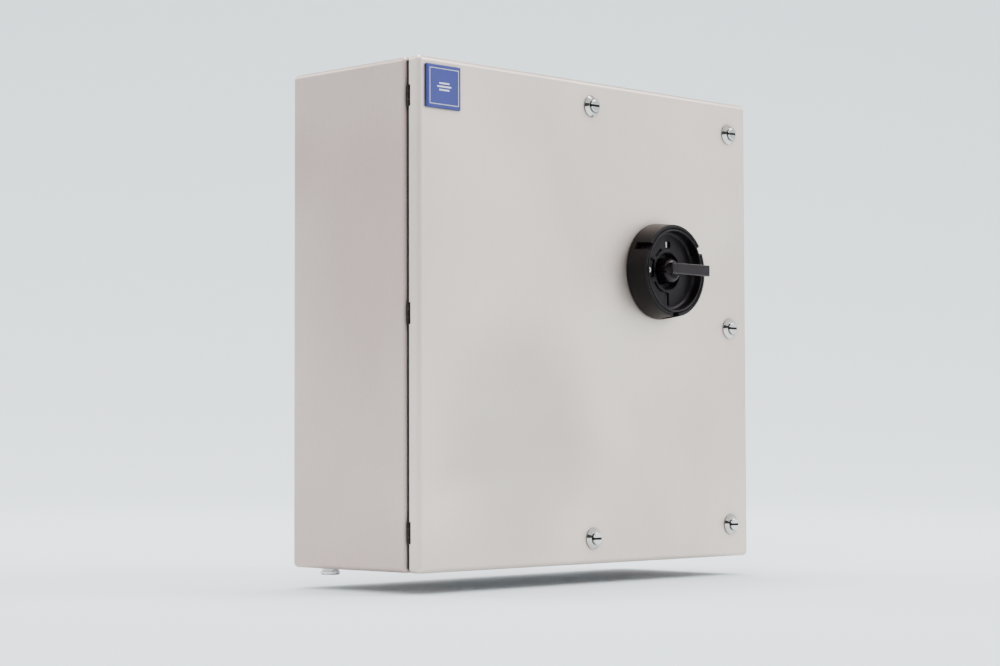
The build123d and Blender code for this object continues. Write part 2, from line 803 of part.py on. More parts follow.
def handle_collar():
    tall = handle_height - collar_seat
    ring = Pos(0, 0, collar_seat + tall / 2) * Cone(handle_radius + collar_flare, handle_radius, tall)
    ring -= disc(handle_radius - collar_wall, dial_seat, handle_height)
    ring -= disc(collar_flange_radius, collar_seat, dial_seat)
    outer_rim = ring.edges().group_by(Axis.Z)[-1].sort_by(SortBy.RADIUS)[-1]
    ring = fillet(outer_rim, 1.6)
    ring = fillet(ring.edges().group_by(Axis.Z)[-1].sort_by(SortBy.RADIUS)[0], 0.5)
    ring -= padlock_slots(dish_radius - 1.0, handle_height - padlock_depth, handle_height)
    return fixing_bores(ring, fixing_radius + hole_gap, collar_seat, dial_seat)


def handle_dial():
    dial = disc(dial_radius, dial_seat, handle_height)
    dial -= disc(dish_radius, dish_floor, handle_height)
    rim = dial.edges().group_by(Axis.Z)[-1]
    dial = fillet(rim, 0.7)
    foot = dial.edges().filter_by(GeomType.CIRCLE).group_by(Axis.Z)
    inner_foot = [e for group in foot for e in group
                  if abs(e.radius - dish_radius) < 0.01 and abs(e.center().Z - dish_floor) < 0.01]
    dial = fillet(inner_foot, dish_foot_radius)
    cavity_top = dish_floor - floor_thickness
    cavity = disc(dish_radius - 1.5, dial_seat, cavity_top)
    dial -= cavity - disc(dial_core_radius, dial_seat, cavity_top)
    for angle in fixing_angles:
        x, y = polar(fixing_circle, angle)
        dial += disc(fixing_boss_radius, dial_seat, cavity_top, x, y)
    dial = fixing_bores(dial, fixing_radius, dial_seat, cavity_top)
    dial -= disc(well_radius, well_floor, dish_floor)
    dial = fillet([e for e in dial.edges().filter_by(GeomType.CIRCLE)
                   if abs(e.radius - well_radius) < 0.01 and abs(e.center().Z - dish_floor) < 0.01],
                  0.8)
    dial += disc(dial_boss_radius, -dial_boss_reach, dial_seat)
    dial -= disc(stub_radius + lock_running_gap, -dial_boss_reach, well_floor)
    dial -= padlock_slots(dish_radius - 1.0, dish_floor, handle_height - padlock_bridge)
    dial -= disc(on_recess_radius, dish_floor - on_recess_depth, dish_floor, 0, mark_on_radius)
    return dial - padlock_groove(270.0) - short_groove(128.0) - off_bracket()


def groove_solid(outline):
    return Pos(0, 0, dish_floor - groove_depth) * extrude(outline, groove_depth + 0.1)


def radial_groove(angle, run):
    strip = Rot(0, 0, angle) * Pos(groove_radius + run / 2, 0) * Rectangle(run, groove_width)
    return groove_solid(strip)


def padlock_groove(angle):
    """An arc beside the well that turns out to a padlock slot."""
    arc = CenterArc((0, 0), groove_radius, angle - 57, 57)
    run = dish_radius - groove_radius - 4.0
    return groove_solid(SlotArc(arc, groove_width)) + radial_groove(angle, run)


def short_groove(angle):
    return groove_solid(SlotArc(CenterArc((0, 0), groove_radius, angle - 11, 22), groove_width))


def off_bracket():
    """A bracket round the off mark, open towards the rim."""
    start, end = 157.0, 195.0
    bracket = groove_solid(SlotArc(CenterArc((0, 0), groove_radius, start, end - start), groove_width))
    return bracket + radial_groove(start, bracket_radial) + radial_groove(end, bracket_radial)


def handle_marks():
    size = mark_off_size * mark_band
    off = disc(size, dish_floor, dish_floor + mark_height) - disc(0.63 * size, dish_floor, dish_floor + 1)
    on_level = dish_floor - on_recess_depth + mark_height / 2
    on_mark = Pos(0, mark_on_radius, on_level) * Box(1.3, 1.3 * on_recess_radius, mark_height)
    return [Pos(-mark_band_start - mark_off_place * mark_band, 0, 0) * off, on_mark]


def handle_knob():
    hub_height = hub_top - well_floor - hub_gap
    hub = Pos(0, 0, well_floor + hub_gap + hub_height / 2) * Cone(hub_radius, hub_top_radius, hub_height)
    hub = fillet(hub.edges().group_by(Axis.Z)[-1], hub_dome)
    foot = grip_foot / 2
    tip = grip_length / 2
    lower = well_floor + hub_gap + 1.0
    slope = (tip - foot) / (grip_height - dish_floor)
    lower_half = foot - slope * (dish_floor - lower)
    side = make_face(Polyline((-lower_half, lower), (lower_half, lower), (tip, grip_height),
                              (-tip, grip_height), close=True))
    wide, thin = grip_thickness / 2, grip_web / 2
    neck = grip_height - grip_lip - grip_slope
    section = make_face(Polyline((-thin, lower), (thin, lower), (thin, neck), (wide, neck + grip_slope),
                                 (wide, grip_height), (-wide, grip_height),
                                 (-wide, neck + grip_slope), (-thin, neck), close=True))
    grip = Rot(90, 0, 0) * extrude(side, grip_thickness, both=True)
    grip &= Rot(0, 0, 90) * Rot(90, 0, 0) * extrude(section, grip_length, both=True)
    grip = fillet(grip.edges().group_by(Axis.Z)[-1], 1.1)
    return hub + grip + disc(stub_radius, -stub_reach, lower)


def handle_coupler():
    front = -dial_boss_reach - coupler_gap
    coupler = disc(coupler_radius, -coupler_reach, front)
    coupler = chamfer(coupler.edges().group_by(Axis.Z)[0], 1.0)
    coupler -= disc(stub_radius + thread_gap, -stub_reach - 0.2, front)
    side = shaft_square + 2 * shaft_socket_gap
    socket_depth = coupler_reach - stub_reach - 1.5
    coupler -= Pos(0, 0, -coupler_reach + socket_depth / 2) * Box(side, side, socket_depth)
    grub_z = (front - stub_reach) / 2
    return coupler - Pos(0, coupler_radius / 2, grub_z) * Rot(90, 0, 0) * Cylinder(
        grub_radius + thread_gap, coupler_radius)


def coupler_grub_screw():
    front = -dial_boss_reach - coupler_gap
    length = coupler_radius - stub_radius - 0.6
    middle = stub_radius + 0.1 + length / 2
    return Pos(0, middle, (front - stub_reach) / 2) * Rot(90, 0, 0) * Cylinder(grub_radius, length)


def handle_screw(angle):
    x, y = polar(fixing_circle, angle)
    head = disc(fixing_head_radius, -sheet - fixing_head_height, -sheet)
    head = fillet(head.edges().group_by(Axis.Z)[0], 0.8)
    socket = hex_prism(2.5, -sheet - fixing_head_height, -sheet - fixing_head_height / 2)
    screw = head - socket + disc(fixing_radius - thread_gap, -sheet, dial_seat + 4.0)
    return Pos(x, y, 0) * screw


# ---- Every node, as a list of its separate solids ----
def build_nodes():
    handle = on_door(handle_x, handle_z)
    seat = bottom + sheet
    plate_level = seat + entry_gasket_thickness
    long_shank = bar_thickness + bar_stand + plate_thickness
    nodes = {
        "enclosure_body": [enclosure_body()],
        "entry_gasket": [entry_layer(seat, plate_level, True)],
        "entry_plate": [entry_layer(plate_level, plate_level + entry_plate_thickness, False)],
        "entry_plate_screws": [entry_screw(x, y) for x, y in entry_screw_places()],
        "plate_studs": [plate_stud(x, z) for x, z in plate_stud_places()],
        "mounting_plate": [mounting_plate()],
        "plate_nuts": [facing_front(x, plate_front, z) * m8_nut(m8_nut_height)
                       for x, z in plate_stud_places()],
        "earth_screw": [earth_screw()],
        "earth_nuts": earth_nuts(),
        "earth_washer": [earth_washer()],
        "earth_bar": [earth_bar()],
        "earth_bar_posts": [earth_bar_post(x) for x in bar_post_xs()],
        "earth_bar_screws": [earth_bar_screw(x, long_shank) for x in bar_post_xs()]
        + [earth_bar_screw(x, bar_thickness * 0.4) for x in bar_screw_xs()],
        "switch_base": [switch_base()],
        "switch_base_screws": [base_screw(x, z) for x, z in base_screw_places()],
        "mechanism_housing": [mechanism_housing()],
        "operating_shaft": [operating_shaft()],
        "contact_rotor": [contact_rotor()],
        "rotor_blades": [rotor_blade(x, 0) for x in pole_xs],
        "line_terminals": [line_terminal(x) for x in pole_xs],
        "centre_contacts": [centre_contact(x) for x in pole_xs],
        "load_terminals": [load_terminal(x) for x in pole_xs],
        "terminal_screws": [terminal_screw(x, z) for x, z in terminal_places()],
        "terminal_washers": [terminal_washer(x, z) for x, z in terminal_places()],
        "cover_hinge_rod": [cover_rod()],
        "hinge_body_leaves": [hinge_body_leaf(z) for z in hinge_heights],
        "hinge_door_leaves": [hinge_door_leaf(z) for z in hinge_heights],
        "hinge_pins": [hinge_pin(z) for z in hinge_heights],
        "door_panel": [door_panel()],
        "door_gasket": [door_gasket()],
        "badge_base": [badge_plate(0, 0, badge_base_thickness)],
        "badge_face": [badge_plate(badge_border, badge_base_thickness, badge_face_thickness)],
        "lock_housings": [on_door(x, z) * lock_housing() for x, z, _, _ in locks.values()],
        "lock_seals": [on_door(x, z) * lock_seal() for x, z, _, _ in locks.values()],
        "lock_nuts": [on_door(x, z) * lock_nut() for x, z, _, _ in locks.values()],
        "handle_gasket": [handle * handle_gasket()],
        "handle_collar": [handle * handle_collar()],
        "handle_dial": [handle * handle_dial()],
        "handle_marks": [handle * mark for mark in handle_marks()],
        "handle_screws": [handle * handle_screw(angle) for angle in fixing_angles],
        "handle_knob": [handle * handle_knob()],
        "handle_coupler": [handle * handle_coupler()],
        "coupler_grub_screw": [handle * coupler_grub_screw()],
    }
    for number, x in enumerate(pole_xs, 1):
        nodes[f"fuse_link_{number}"] = [fuse_link(x)]
        nodes[f"fuse_cover_{number}"] = [fuse_cover(x)]
    for name, (x, z, tongue_angle, inset) in locks.items():
        nodes[f"lock_plug_{name}"] = [on_door(x, z) * lock_plug()]
        nodes[f"lock_cam_{name}"] = [on_door(x, z) * lock_cam(tongue_angle, inset)]
    return nodes


os.makedirs("parts", exist_ok=True)
for node_name, solids in build_nodes().items():
    shape = solids[0] if len(solids) == 1 else Compound(children=solids)
    export_step(shape, f"parts/{node_name}.step")
    print(node_name, len(solids))
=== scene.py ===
import bpy
import bmesh
import json
import math
from mathutils import Matrix, Vector


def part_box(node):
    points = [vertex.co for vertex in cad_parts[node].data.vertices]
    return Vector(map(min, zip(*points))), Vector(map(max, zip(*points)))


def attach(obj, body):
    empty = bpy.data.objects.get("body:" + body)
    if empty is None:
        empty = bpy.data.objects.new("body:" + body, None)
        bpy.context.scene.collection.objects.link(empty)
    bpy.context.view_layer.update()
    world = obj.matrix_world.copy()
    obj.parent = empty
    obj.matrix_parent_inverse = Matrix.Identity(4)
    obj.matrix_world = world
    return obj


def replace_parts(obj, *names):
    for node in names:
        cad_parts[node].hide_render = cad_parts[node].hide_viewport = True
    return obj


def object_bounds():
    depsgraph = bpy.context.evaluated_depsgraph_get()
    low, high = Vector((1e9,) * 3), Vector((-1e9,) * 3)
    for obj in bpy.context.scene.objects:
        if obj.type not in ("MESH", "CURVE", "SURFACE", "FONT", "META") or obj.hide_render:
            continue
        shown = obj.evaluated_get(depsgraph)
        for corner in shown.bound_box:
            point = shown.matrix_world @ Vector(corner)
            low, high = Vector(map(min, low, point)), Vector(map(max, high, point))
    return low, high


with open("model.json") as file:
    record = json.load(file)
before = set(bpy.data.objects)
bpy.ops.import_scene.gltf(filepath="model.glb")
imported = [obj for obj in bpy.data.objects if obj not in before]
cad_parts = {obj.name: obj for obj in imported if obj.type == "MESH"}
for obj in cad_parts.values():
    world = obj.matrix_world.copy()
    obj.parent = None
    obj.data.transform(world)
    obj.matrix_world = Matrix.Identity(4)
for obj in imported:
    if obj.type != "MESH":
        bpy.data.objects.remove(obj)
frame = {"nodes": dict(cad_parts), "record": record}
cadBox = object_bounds()
nodes = frame["nodes"]
record = frame["record"]

mm = 0.001
lockNames = ("top", "bottom", "upper", "middle", "lower")


def linearColour(hexText):
    channels = [int(hexText[i:i + 2], 16) / 255 for i in (1, 3, 5)]
    return [c / 12.92 if c <= 0.04045 else ((c + 0.055) / 1.055) ** 2.4 for c in channels] + [1.0]


def addNode(tree, kind, inputs=None, **settings):
    node = tree.nodes.new(kind)
    for key, value in settings.items():
        setattr(node, key, value)
    for key, value in (inputs or {}).items():
        if isinstance(value, bpy.types.NodeSocket):
            tree.links.new(value, node.inputs[key])
        else:
            node.inputs[key].default_value = value
    return node


def perMetre(sizeInMm):
    return 1000.0 / sizeInMm


def startMaterial(name):
    material = bpy.data.materials.new(name)
    material.use_nodes = True
    tree = material.node_tree
    tree.nodes.clear()
    shader = addNode(tree, "ShaderNodeBsdfPrincipled")
    addNode(tree, "ShaderNodeOutputMaterial", {"Surface": shader.outputs[0]})
    place = addNode(tree, "ShaderNodeTexCoord").outputs["Object"]
    return material, tree, shader, place


stainlessLook = {
    "grainWidth": 0.5,       # mm, belt-ground lines drawn coarser than the real 0.1 so that they show
    "grainLength": 45.0,     # mm
    "cloudSize": 170.0,      # mm, faint waves of a thin rolled sheet
    "grainDepth": 0.02,      # mm
    "grainBump": 0.2,
    "fineSize": 3.0,         # mm, small specks of the rolled skin
    "weights": (0.8, 0.2, 0.16),           # how much clouds, grain and specks count in the tone
    "toneRange": (0.42, 0.74),             # weighted pattern that turns from the darker to the full colour
    "glossSpread": (0.05, -0.04),          # duller in the dark parts, glossier in the pale ones
    "creviceReach": 8.0,     # mm, how wide a gap still looks dark
    "creviceShade": "#181312",
    "patchSize": 320.0,      # mm, broad uneven tone left by rolling and cleaning
    "patchShade": 0.9,
    "darkSpotAt": (-93.0, -150.0, -100.0),   # mm, middle of a ragged darker spot, low on the door's left half
    "darkSpotRadius": (80.0, 160.0),         # mm, where the dark spot starts and stops fading
    "darkSpotRagged": 80.0,    # mm, how far its edge wanders
    "darkSpotShade": 0.81,
}


def darkenCrevices(tree, colour, reach, shade, power):
    # light that gets lost between close faces, so that a narrow gap reads as a dark line
    nearby = addNode(tree, "ShaderNodeAmbientOcclusion", {"Distance": reach * mm}, samples=8)
    depth = addNode(tree, "ShaderNodeMath", {0: nearby.outputs["AO"], 1: power}, operation="POWER")
    return addNode(tree, "ShaderNodeMix", {0: depth.outputs[0], 6: linearColour(shade), 7: colour},
                   data_type="RGBA").outputs[2]


def groundStainless(name, colour, darker, grainAxis, roughness, metallic, crevice):
    # stainless sheet, belt-ground and cleaned: a soft blurred reflection with very faint lines
    look = stainlessLook
    material, tree, shader, place = startMaterial(name)
    scale = [perMetre(look["grainWidth"])] * 3
    scale[grainAxis] = perMetre(look["grainLength"])
    lines = addNode(tree, "ShaderNodeMapping", {"Vector": place, "Scale": scale})
    grain = addNode(tree, "ShaderNodeTexNoise", {"Vector": lines.outputs[0], "Scale": 1.0, "Detail": 2.0})
    cloud = addNode(tree, "ShaderNodeTexNoise", {"Vector": place, "Scale": perMetre(look["cloudSize"]),
                                                 "Detail": 2.0, "Roughness": 0.35, "Distortion": 0.6})
    fine = addNode(tree, "ShaderNodeTexNoise", {"Vector": place, "Scale": perMetre(look["fineSize"]),
                                                "Detail": 3.0})
    weights = look["weights"]
    mixed = addNode(tree, "ShaderNodeMath", {0: cloud.outputs[0], 1: weights[0]}, operation="MULTIPLY")
    mixed = addNode(tree, "ShaderNodeMath", {0: grain.outputs[0], 1: weights[1], 2: mixed.outputs[0]},
                    operation="MULTIPLY_ADD")
    mixed = addNode(tree, "ShaderNodeMath", {0: fine.outputs[0], 1: weights[2], 2: mixed.outputs[0]},
                    operation="MULTIPLY_ADD")
    tone = addNode(tree, "ShaderNodeMapRange", {"Value": mixed.outputs[0],
                                                "From Min": look["toneRange"][0],
                                                "From Max": look["toneRange"][1]})
    paint = addNode(tree, "ShaderNodeMix", {0: tone.outputs[0], 6: linearColour(darker),
                                            7: linearColour(colour)}, data_type="RGBA")
    duller, glossier = look["glossSpread"]
    gloss = addNode(tree, "ShaderNodeMapRange", {"Value": mixed.outputs[0], "From Min": 0.3, "From Max": 0.7,
                                                 "To Min": roughness + duller,
                                                 "To Max": roughness + glossier})
    bump = addNode(tree, "ShaderNodeBump", {"Height": grain.outputs[0], "Distance": look["grainDepth"] * mm,
                                            "Strength": look["grainBump"]})
    patch = addNode(tree, "ShaderNodeTexNoise", {"Vector": place, "Scale": perMetre(look["patchSize"]),
                                                 "Detail": 3.0, "Roughness": 0.45, "Distortion": 0.9})
    wash = addNode(tree, "ShaderNodeMapRange", {"Value": patch.outputs[0], "From Min": 0.36,
                                                "From Max": 0.6, "To Min": look["patchShade"],
                                                "To Max": 1.0})
    toned = addNode(tree, "ShaderNodeVectorMath", {0: paint.outputs[2], "Scale": wash.outputs[0]},
                    operation="SCALE")
    # a ragged spot round a given point, darker than the rest of the sheet
    away = addNode(tree, "ShaderNodeVectorMath", {0: place, 1: [v * mm for v in look["darkSpotAt"]]},
                   operation="DISTANCE")
    ragged = addNode(tree, "ShaderNodeMath", {0: cloud.outputs[0], 1: look["darkSpotRagged"] * mm,
                                              2: away.outputs["Value"]}, operation="MULTIPLY_ADD")
    darkSpot = addNode(tree, "ShaderNodeMapRange", {"Value": ragged.outputs[0],
                                               "From Min": look["darkSpotRadius"][0] * mm,
                                               "From Max": look["darkSpotRadius"][1] * mm,
                                               "To Min": look["darkSpotShade"], "To Max": 1.0},
                  interpolation_type="SMOOTHSTEP")
    toned = addNode(tree, "ShaderNodeVectorMath", {0: toned.outputs[0], "Scale": darkSpot.outputs[0]},
                    operation="SCALE")
    shaded = darkenCrevices(tree, toned.outputs[0], look["creviceReach"], look["creviceShade"], crevice)
    tree.links.new(shaded, shader.inputs["Base Color"])
    tree.links.new(gloss.outputs[0], shader.inputs["Roughness"])
    tree.links.new(bump.outputs[0], shader.inputs["Normal"])
    shader.inputs["Metallic"].default_value = metallic
    return material


def platedMetal(name, colour, tint, roughness, patchSize, crevice=None):
    # turned or pressed metal with a thin plated coat: bright, with small uneven patches
    material, tree, shader, place = startMaterial(name)
    patch = addNode(tree, "ShaderNodeTexNoise", {"Vector": place, "Scale": perMetre(patchSize),
                                                 "Detail": 4.0, "Roughness": 0.6})
    paint = addNode(tree, "ShaderNodeMix", {0: patch.outputs[0], 6: linearColour(colour),
                                            7: linearColour(tint)}, data_type="RGBA")
    gloss = addNode(tree, "ShaderNodeMapRange", {"Value": patch.outputs[0],
                                                 "From Min": 0.3, "From Max": 0.7,
                                                 "To Min": roughness * 0.75, "To Max": roughness * 1.3})
    turned = addNode(tree, "ShaderNodeTexNoise", {"Vector": place, "Scale": perMetre(0.5), "Detail": 1.0})
    bump = addNode(tree, "ShaderNodeBump", {"Height": turned.outputs[0], "Distance": 0.01 * mm,
                                            "Strength": 0.25})
    shaded = paint.outputs[2]
    if crevice:
        shaded = darkenCrevices(tree, shaded, crevice, "#0c0b0b", 1.6)
    tree.links.new(shaded, shader.inputs["Base Color"])
    tree.links.new(gloss.outputs[0], shader.inputs["Roughness"])
    tree.links.new(bump.outputs[0], shader.inputs["Normal"])
    shader.inputs["Metallic"].default_value = 1.0
    return material


def galvanisedSheet(name, colour, darker, spangle):
    # hot-dip galvanised sheet: flat zinc crystals that each catch the light a little differently
    material, tree, shader, place = startMaterial(name)
    crystal = addNode(tree, "ShaderNodeTexVoronoi", {"Vector": place, "Scale": perMetre(spangle)})
    level = addNode(tree, "ShaderNodeSeparateColor", {0: crystal.outputs["Color"]})
    paint = addNode(tree, "ShaderNodeMix", {0: level.outputs[0], 6: linearColour(colour),
                                            7: linearColour(darker)}, data_type="RGBA")
    gloss = addNode(tree, "ShaderNodeMapRange", {"Value": level.outputs[1], "To Min": 0.38, "To Max": 0.52})
    tree.links.new(paint.outputs[2], shader.inputs["Base Color"])
    tree.links.new(gloss.outputs[0], shader.inputs["Roughness"])
    shader.inputs["Metallic"].default_value = 1.0
    return material


def mouldedPlastic(name, colour, lighter, roughness, grainSize, grainDepth=0.03, index=1.53, shine=0.5,
                   glint="#ffffff"):
    # injection moulding from a spark-eroded tool: an even fine grain that breaks up the highlights
    material, tree, shader, place = startMaterial(name)
    grain = addNode(tree, "ShaderNodeTexNoise", {"Vector": place, "Scale": perMetre(grainSize),
                                                 "Detail": 3.0, "Roughness": 0.55})
    flow = addNode(tree, "ShaderNodeTexNoise", {"Vector": place, "Scale": perMetre(25.0), "Detail": 2.0})
    paint = addNode(tree, "ShaderNodeMix", {0: flow.outputs[0], 6: linearColour(colour),
                                            7: linearColour(lighter)}, data_type="RGBA")
    gloss = addNode(tree, "ShaderNodeMapRange", {"Value": flow.outputs[0], "From Min": 0.3, "From Max": 0.7,
                                                 "To Min": roughness - 0.05, "To Max": roughness + 0.06})
    bump = addNode(tree, "ShaderNodeBump", {"Height": grain.outputs[0], "Distance": grainDepth * mm,
                                            "Strength": 0.6})
    tree.links.new(paint.outputs[2], shader.inputs["Base Color"])
    tree.links.new(gloss.outputs[0], shader.inputs["Roughness"])
    tree.links.new(bump.outputs[0], shader.inputs["Normal"])
    shader.inputs["IOR"].default_value = index
    shader.inputs["Specular IOR Level"].default_value = shine   # under 0.5 where pores swallow light
    shader.inputs["Specular Tint"].default_value = linearColour(glint)
    return material


def smokedPolycarbonate(name, colour, darker):
    # clear moulding with a grey tint: what lies behind shows, a little dimmed
    material, tree, shader, place = startMaterial(name)
    flow = addNode(tree, "ShaderNodeTexNoise", {"Vector": place, "Scale": perMetre(30.0), "Detail": 2.0})
    paint = addNode(tree, "ShaderNodeMix", {0: flow.outputs[0], 6: linearColour(colour),
                                            7: linearColour(darker)}, data_type="RGBA")
    tree.links.new(paint.outputs[2], shader.inputs["Base Color"])
    shader.inputs["Transmission Weight"].default_value = 0.85
    shader.inputs["Roughness"].default_value = 0.12
    shader.inputs["IOR"].default_value = 1.58
    return material


def steatite(name, colour, darker):
    # unglazed steatite ceramic: pale, dead matt, with faint firing specks
    material, tree, shader, place = startMaterial(name)
    speck = addNode(tree, "ShaderNodeTexNoise", {"Vector": place, "Scale": perMetre(1.2), "Detail": 5.0,
                                                 "Roughness": 0.7})
    sharp = addNode(tree, "ShaderNodeMapRange", {"Value": speck.outputs[0],
                                                 "From Min": 0.55, "From Max": 0.75})
    paint = addNode(tree, "ShaderNodeMix", {0: sharp.outputs[0], 6: linearColour(colour),
                                            7: linearColour(darker)}, data_type="RGBA")
    bump = addNode(tree, "ShaderNodeBump", {"Height": speck.outputs[0], "Distance": 0.04 * mm,
                                            "Strength": 0.5})
    tree.links.new(paint.outputs[2], shader.inputs["Base Color"])
    tree.links.new(bump.outputs[0], shader.inputs["Normal"])
    shader.inputs["Roughness"].default_value = 0.62
    return material


def foamedSkin(name, colour, lighter):
    # foamed-in-place polyurethane: a soft matt skin with small open cells
    material, tree, shader, place = startMaterial(name)
    cells = addNode(tree, "ShaderNodeTexVoronoi", {"Vector": place, "Scale": perMetre(1.6)})
    paint = addNode(tree, "ShaderNodeMix", {0: cells.outputs[0], 6: linearColour(colour),
                                            7: linearColour(lighter)}, data_type="RGBA")
    bump = addNode(tree, "ShaderNodeBump", {"Height": cells.outputs[0], "Distance": 0.25 * mm,
                                            "Strength": 0.5})
    tree.links.new(paint.outputs[2], shader.inputs["Base Color"])
    tree.links.new(bump.outputs[0], shader.inputs["Normal"])
    shader.inputs["Roughness"].default_value = 0.85
    return material


slotMaterials = {
    # the body's sheet has a darker base than the door's: painted shade for its sides, which face away from
    # the light
    "stainless_body": groundStainless("groundStainlessBody", "#cdb7ae", "#bfa8a0", 2, 0.44, 0.9, 3.0),
    "stainless_door": groundStainless("groundStainlessDoor", "#dfcfc4", "#d3c2b7", 2, 0.46, 0.8, 0.6),
    "stainless_small": platedMetal("turnedStainless", "#d8d5d2", "#cdc9c6", 0.24, 9.0, crevice=3.0),
    # hinge knuckles near-black: painted shade for the notches in the door edge where they show
    "hinge_black": platedMetal("hingeSteelPaintedShade", "#2c2826", "#1d1a19", 0.45, 4.0),
    "zinc_plated": platedMetal("brightZincPlate", "#cfd3da", "#b4b8bd", 0.3, 4.0),
    "galvanised": galvanisedSheet("galvanisedSheet", "#b6babd", "#a6abaf", 9.0),
    "chromed_zinc": platedMetal("chromedZincCasting", "#d2cfcc", "#b7b2ae", 0.08, 5.0, crevice=3.6),
    "black_polyamide": mouldedPlastic("blackGlassFilledPolyamide", "#0a0a0a", "#0e0e0e", 0.42, 0.35,
                                      shine=0.11, glint="#ffeeee"),
    "dial_polyamide": mouldedPlastic("dialPolyamide", "#0c0a0c", "#100e10", 0.36, 0.35,
                                     shine=0.15, glint="#ffeaec"),
    "grip_polyamide": mouldedPlastic("gripPolyamide", "#0d0a0c", "#120f11", 0.26, 0.35,
                                     shine=0.2, glint="#ffe6e9"),
    "white_ink": mouldedPlastic("whitePadPrint", "#d4d4d2", "#c6c6c4", 0.5, 0.6, 0.01),
    "grey_polycarbonate": mouldedPlastic("greyPolycarbonate", "#6d7073", "#76797c", 0.42, 0.5),
    "clear_polycarbonate": smokedPolycarbonate("smokedPolycarbonate", "#aeb4b8", "#98a0a5"),
    "base_thermoset": mouldedPlastic("glassFilledThermoset", "#26272a", "#313236", 0.5, 0.8, 0.05),
    "copper": platedMetal("tinnedCopper", "#d8b49a", "#c9c2b8", 0.3, 7.0),
    "brass": platedMetal("turnedBrass", "#c9a661", "#b08d4a", 0.3, 5.0),
    "fuse_ceramic": steatite("unglazedSteatite", "#dcd6ca", "#b9b1a3"),
    "sealing_rubber": mouldedPlastic("mouldedEpdmRubber", "#101010", "#191919", 0.7, 0.5, 0.05, 1.52),
    "foam_gasket": foamedSkin("foamedPolyurethane", "#2a2a2c", "#3b3b3e"),
    "badge_blue": mouldedPlastic("blueAcrylicFace", "#2f3272", "#343879", 0.5, 1.5, 0.01, 1.49, 0.25),
    # the badge's base, seen as its side wall, is a much darker blue than the face: painted shade
    "badge_dark": mouldedPlastic("blueAcrylicEdgeShaded", "#14183f", "#191d49", 0.45, 1.5, 0.01, 1.49, 0.35),
}
slotOfNode = {entry["node"]: entry["material_slot"] for entry in record["subparts"]}
for name, node in nodes.items():
    node.data.materials.clear()
    node.data.materials.append(slotMaterials[slotOfNode[name]])
print("materials made:", len(slotMaterials))


def setPiece(mesh, name, body, slot):
    # gives a mesh its material and hangs it on its body
    mesh.name = name
    mesh.materials.clear()
    mesh.materials.append(slotMaterials[slot])
    piece = bpy.data.objects.new(name, mesh)
    bpy.context.scene.collection.objects.link(piece)
    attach(piece, body)
    return piece


def meshFrom(shape, name):
    bmesh.ops.recalc_face_normals(shape, faces=shape.faces)
    mesh = bpy.data.meshes.new(name)
    shape.to_mesh(mesh)
    shape.free()
    return mesh


def skin(shape, loops, closed=True):
    # walls between neighbouring loops of points, and from the last back to the first
    following = loops[1:] + loops[:1] if closed else loops[1:]
    for a, b in zip(loops, following):
        for i in range(len(a)):
            j = (i + 1) % len(a)
            shape.faces.new((a[i], a[j], b[j], b[i]))


def addBar(shape, low, high, bevel):
    # a straight bar between two corners with its edges broken
    size = Vector(high) - Vector(low)
    middle = (Vector(high) + Vector(low)) / 2
    made = bmesh.ops.create_cube(shape, size=1.0,
                                 matrix=Matrix.Translation(middle) @ Matrix.Diagonal((*size, 1)))
    edges = {edge for vert in made["verts"] for edge in vert.link_edges}
    bmesh.ops.bevel(shape, geom=list(edges), offset=bevel, segments=2, affect="EDGES", profile=0.6)


def startTree(name, inputs):
    tree = bpy.data.node_groups.new(name, "GeometryNodeTree")
    tree.interface.new_socket(name="Geometry", in_out="INPUT", socket_type="NodeSocketGeometry")
    for label, (kind, value) in inputs.items():
        socket = tree.interface.new_socket(name=label, in_out="INPUT", socket_type="NodeSocket" + kind)
        socket.default_value = value
    tree.interface.new_socket(name="Geometry", in_out="OUTPUT", socket_type="NodeSocketGeometry")
    return tree, addNode(tree, "NodeGroupInput").outputs


def endTree(tree, geometry, slot):
    real = addNode(tree, "GeometryNodeRealizeInstances", {0: geometry})
    painted = addNode(tree, "GeometryNodeSetMaterial", {"Geometry": real.outputs[0],
                                                        "Material": slotMaterials[slot]})
    addNode(tree, "NodeGroupOutput", {0: painted.outputs[0]})


def grow(name, tree, points, sizes, body, slot):
    # runs a tree from a few starting points and keeps the result as a plain mesh
    start = bpy.data.meshes.new(name + "Start")
    start.from_pydata([tuple(p) for p in points], [], [])
    holder = bpy.data.objects.new(name + "Start", start)
    bpy.context.scene.collection.objects.link(holder)
    modifier = holder.modifiers.new("growth", "NODES")
    modifier.node_group = tree
    for socket in tree.interface.items_tree:
        if socket.in_out == "INPUT" and socket.name in sizes:
            modifier[socket.identifier] = sizes[socket.name]
    graph = bpy.context.evaluated_depsgraph_get()
    mesh = bpy.data.meshes.new_from_object(holder.evaluated_get(graph))
    holder.modifiers.clear()
    bpy.data.objects.remove(holder)
    return setPiece(mesh, name, body, slot)


threads = {
    # one ridge wound round a shank; sizes in mm, axis as a turn of the local z
    "plateStudThreads": {"body": "root", "slot": "zinc_plated", "shank": 4.0, "length": 2.6,
                         "pitch": 1.25, "flats": 20.0, "turn": (math.pi / 2, 0, 0)},
    "lockBarrelThreads": {"body": "door", "slot": "chromed_zinc", "shank": 6.5, "length": 14.2,
                          "pitch": 1.0, "flats": 5.8, "turn": (-math.pi / 2, 0, 0)},
    "earthScrewThread": {"body": "root", "slot": "stainless_small", "shank": 4.0, "length": 3.4,
                         "pitch": 1.25, "flats": 20.0, "turn": (0.0, 0.0, 0.0)},
}
threadForm = {"ridge": 0.32, "stepsPerTurn": 28, "ridgeCorners": 5}   # ridge radius as a part of the pitch
studShoulder = 7.0   # mm, radius of a plate stud's shoulder


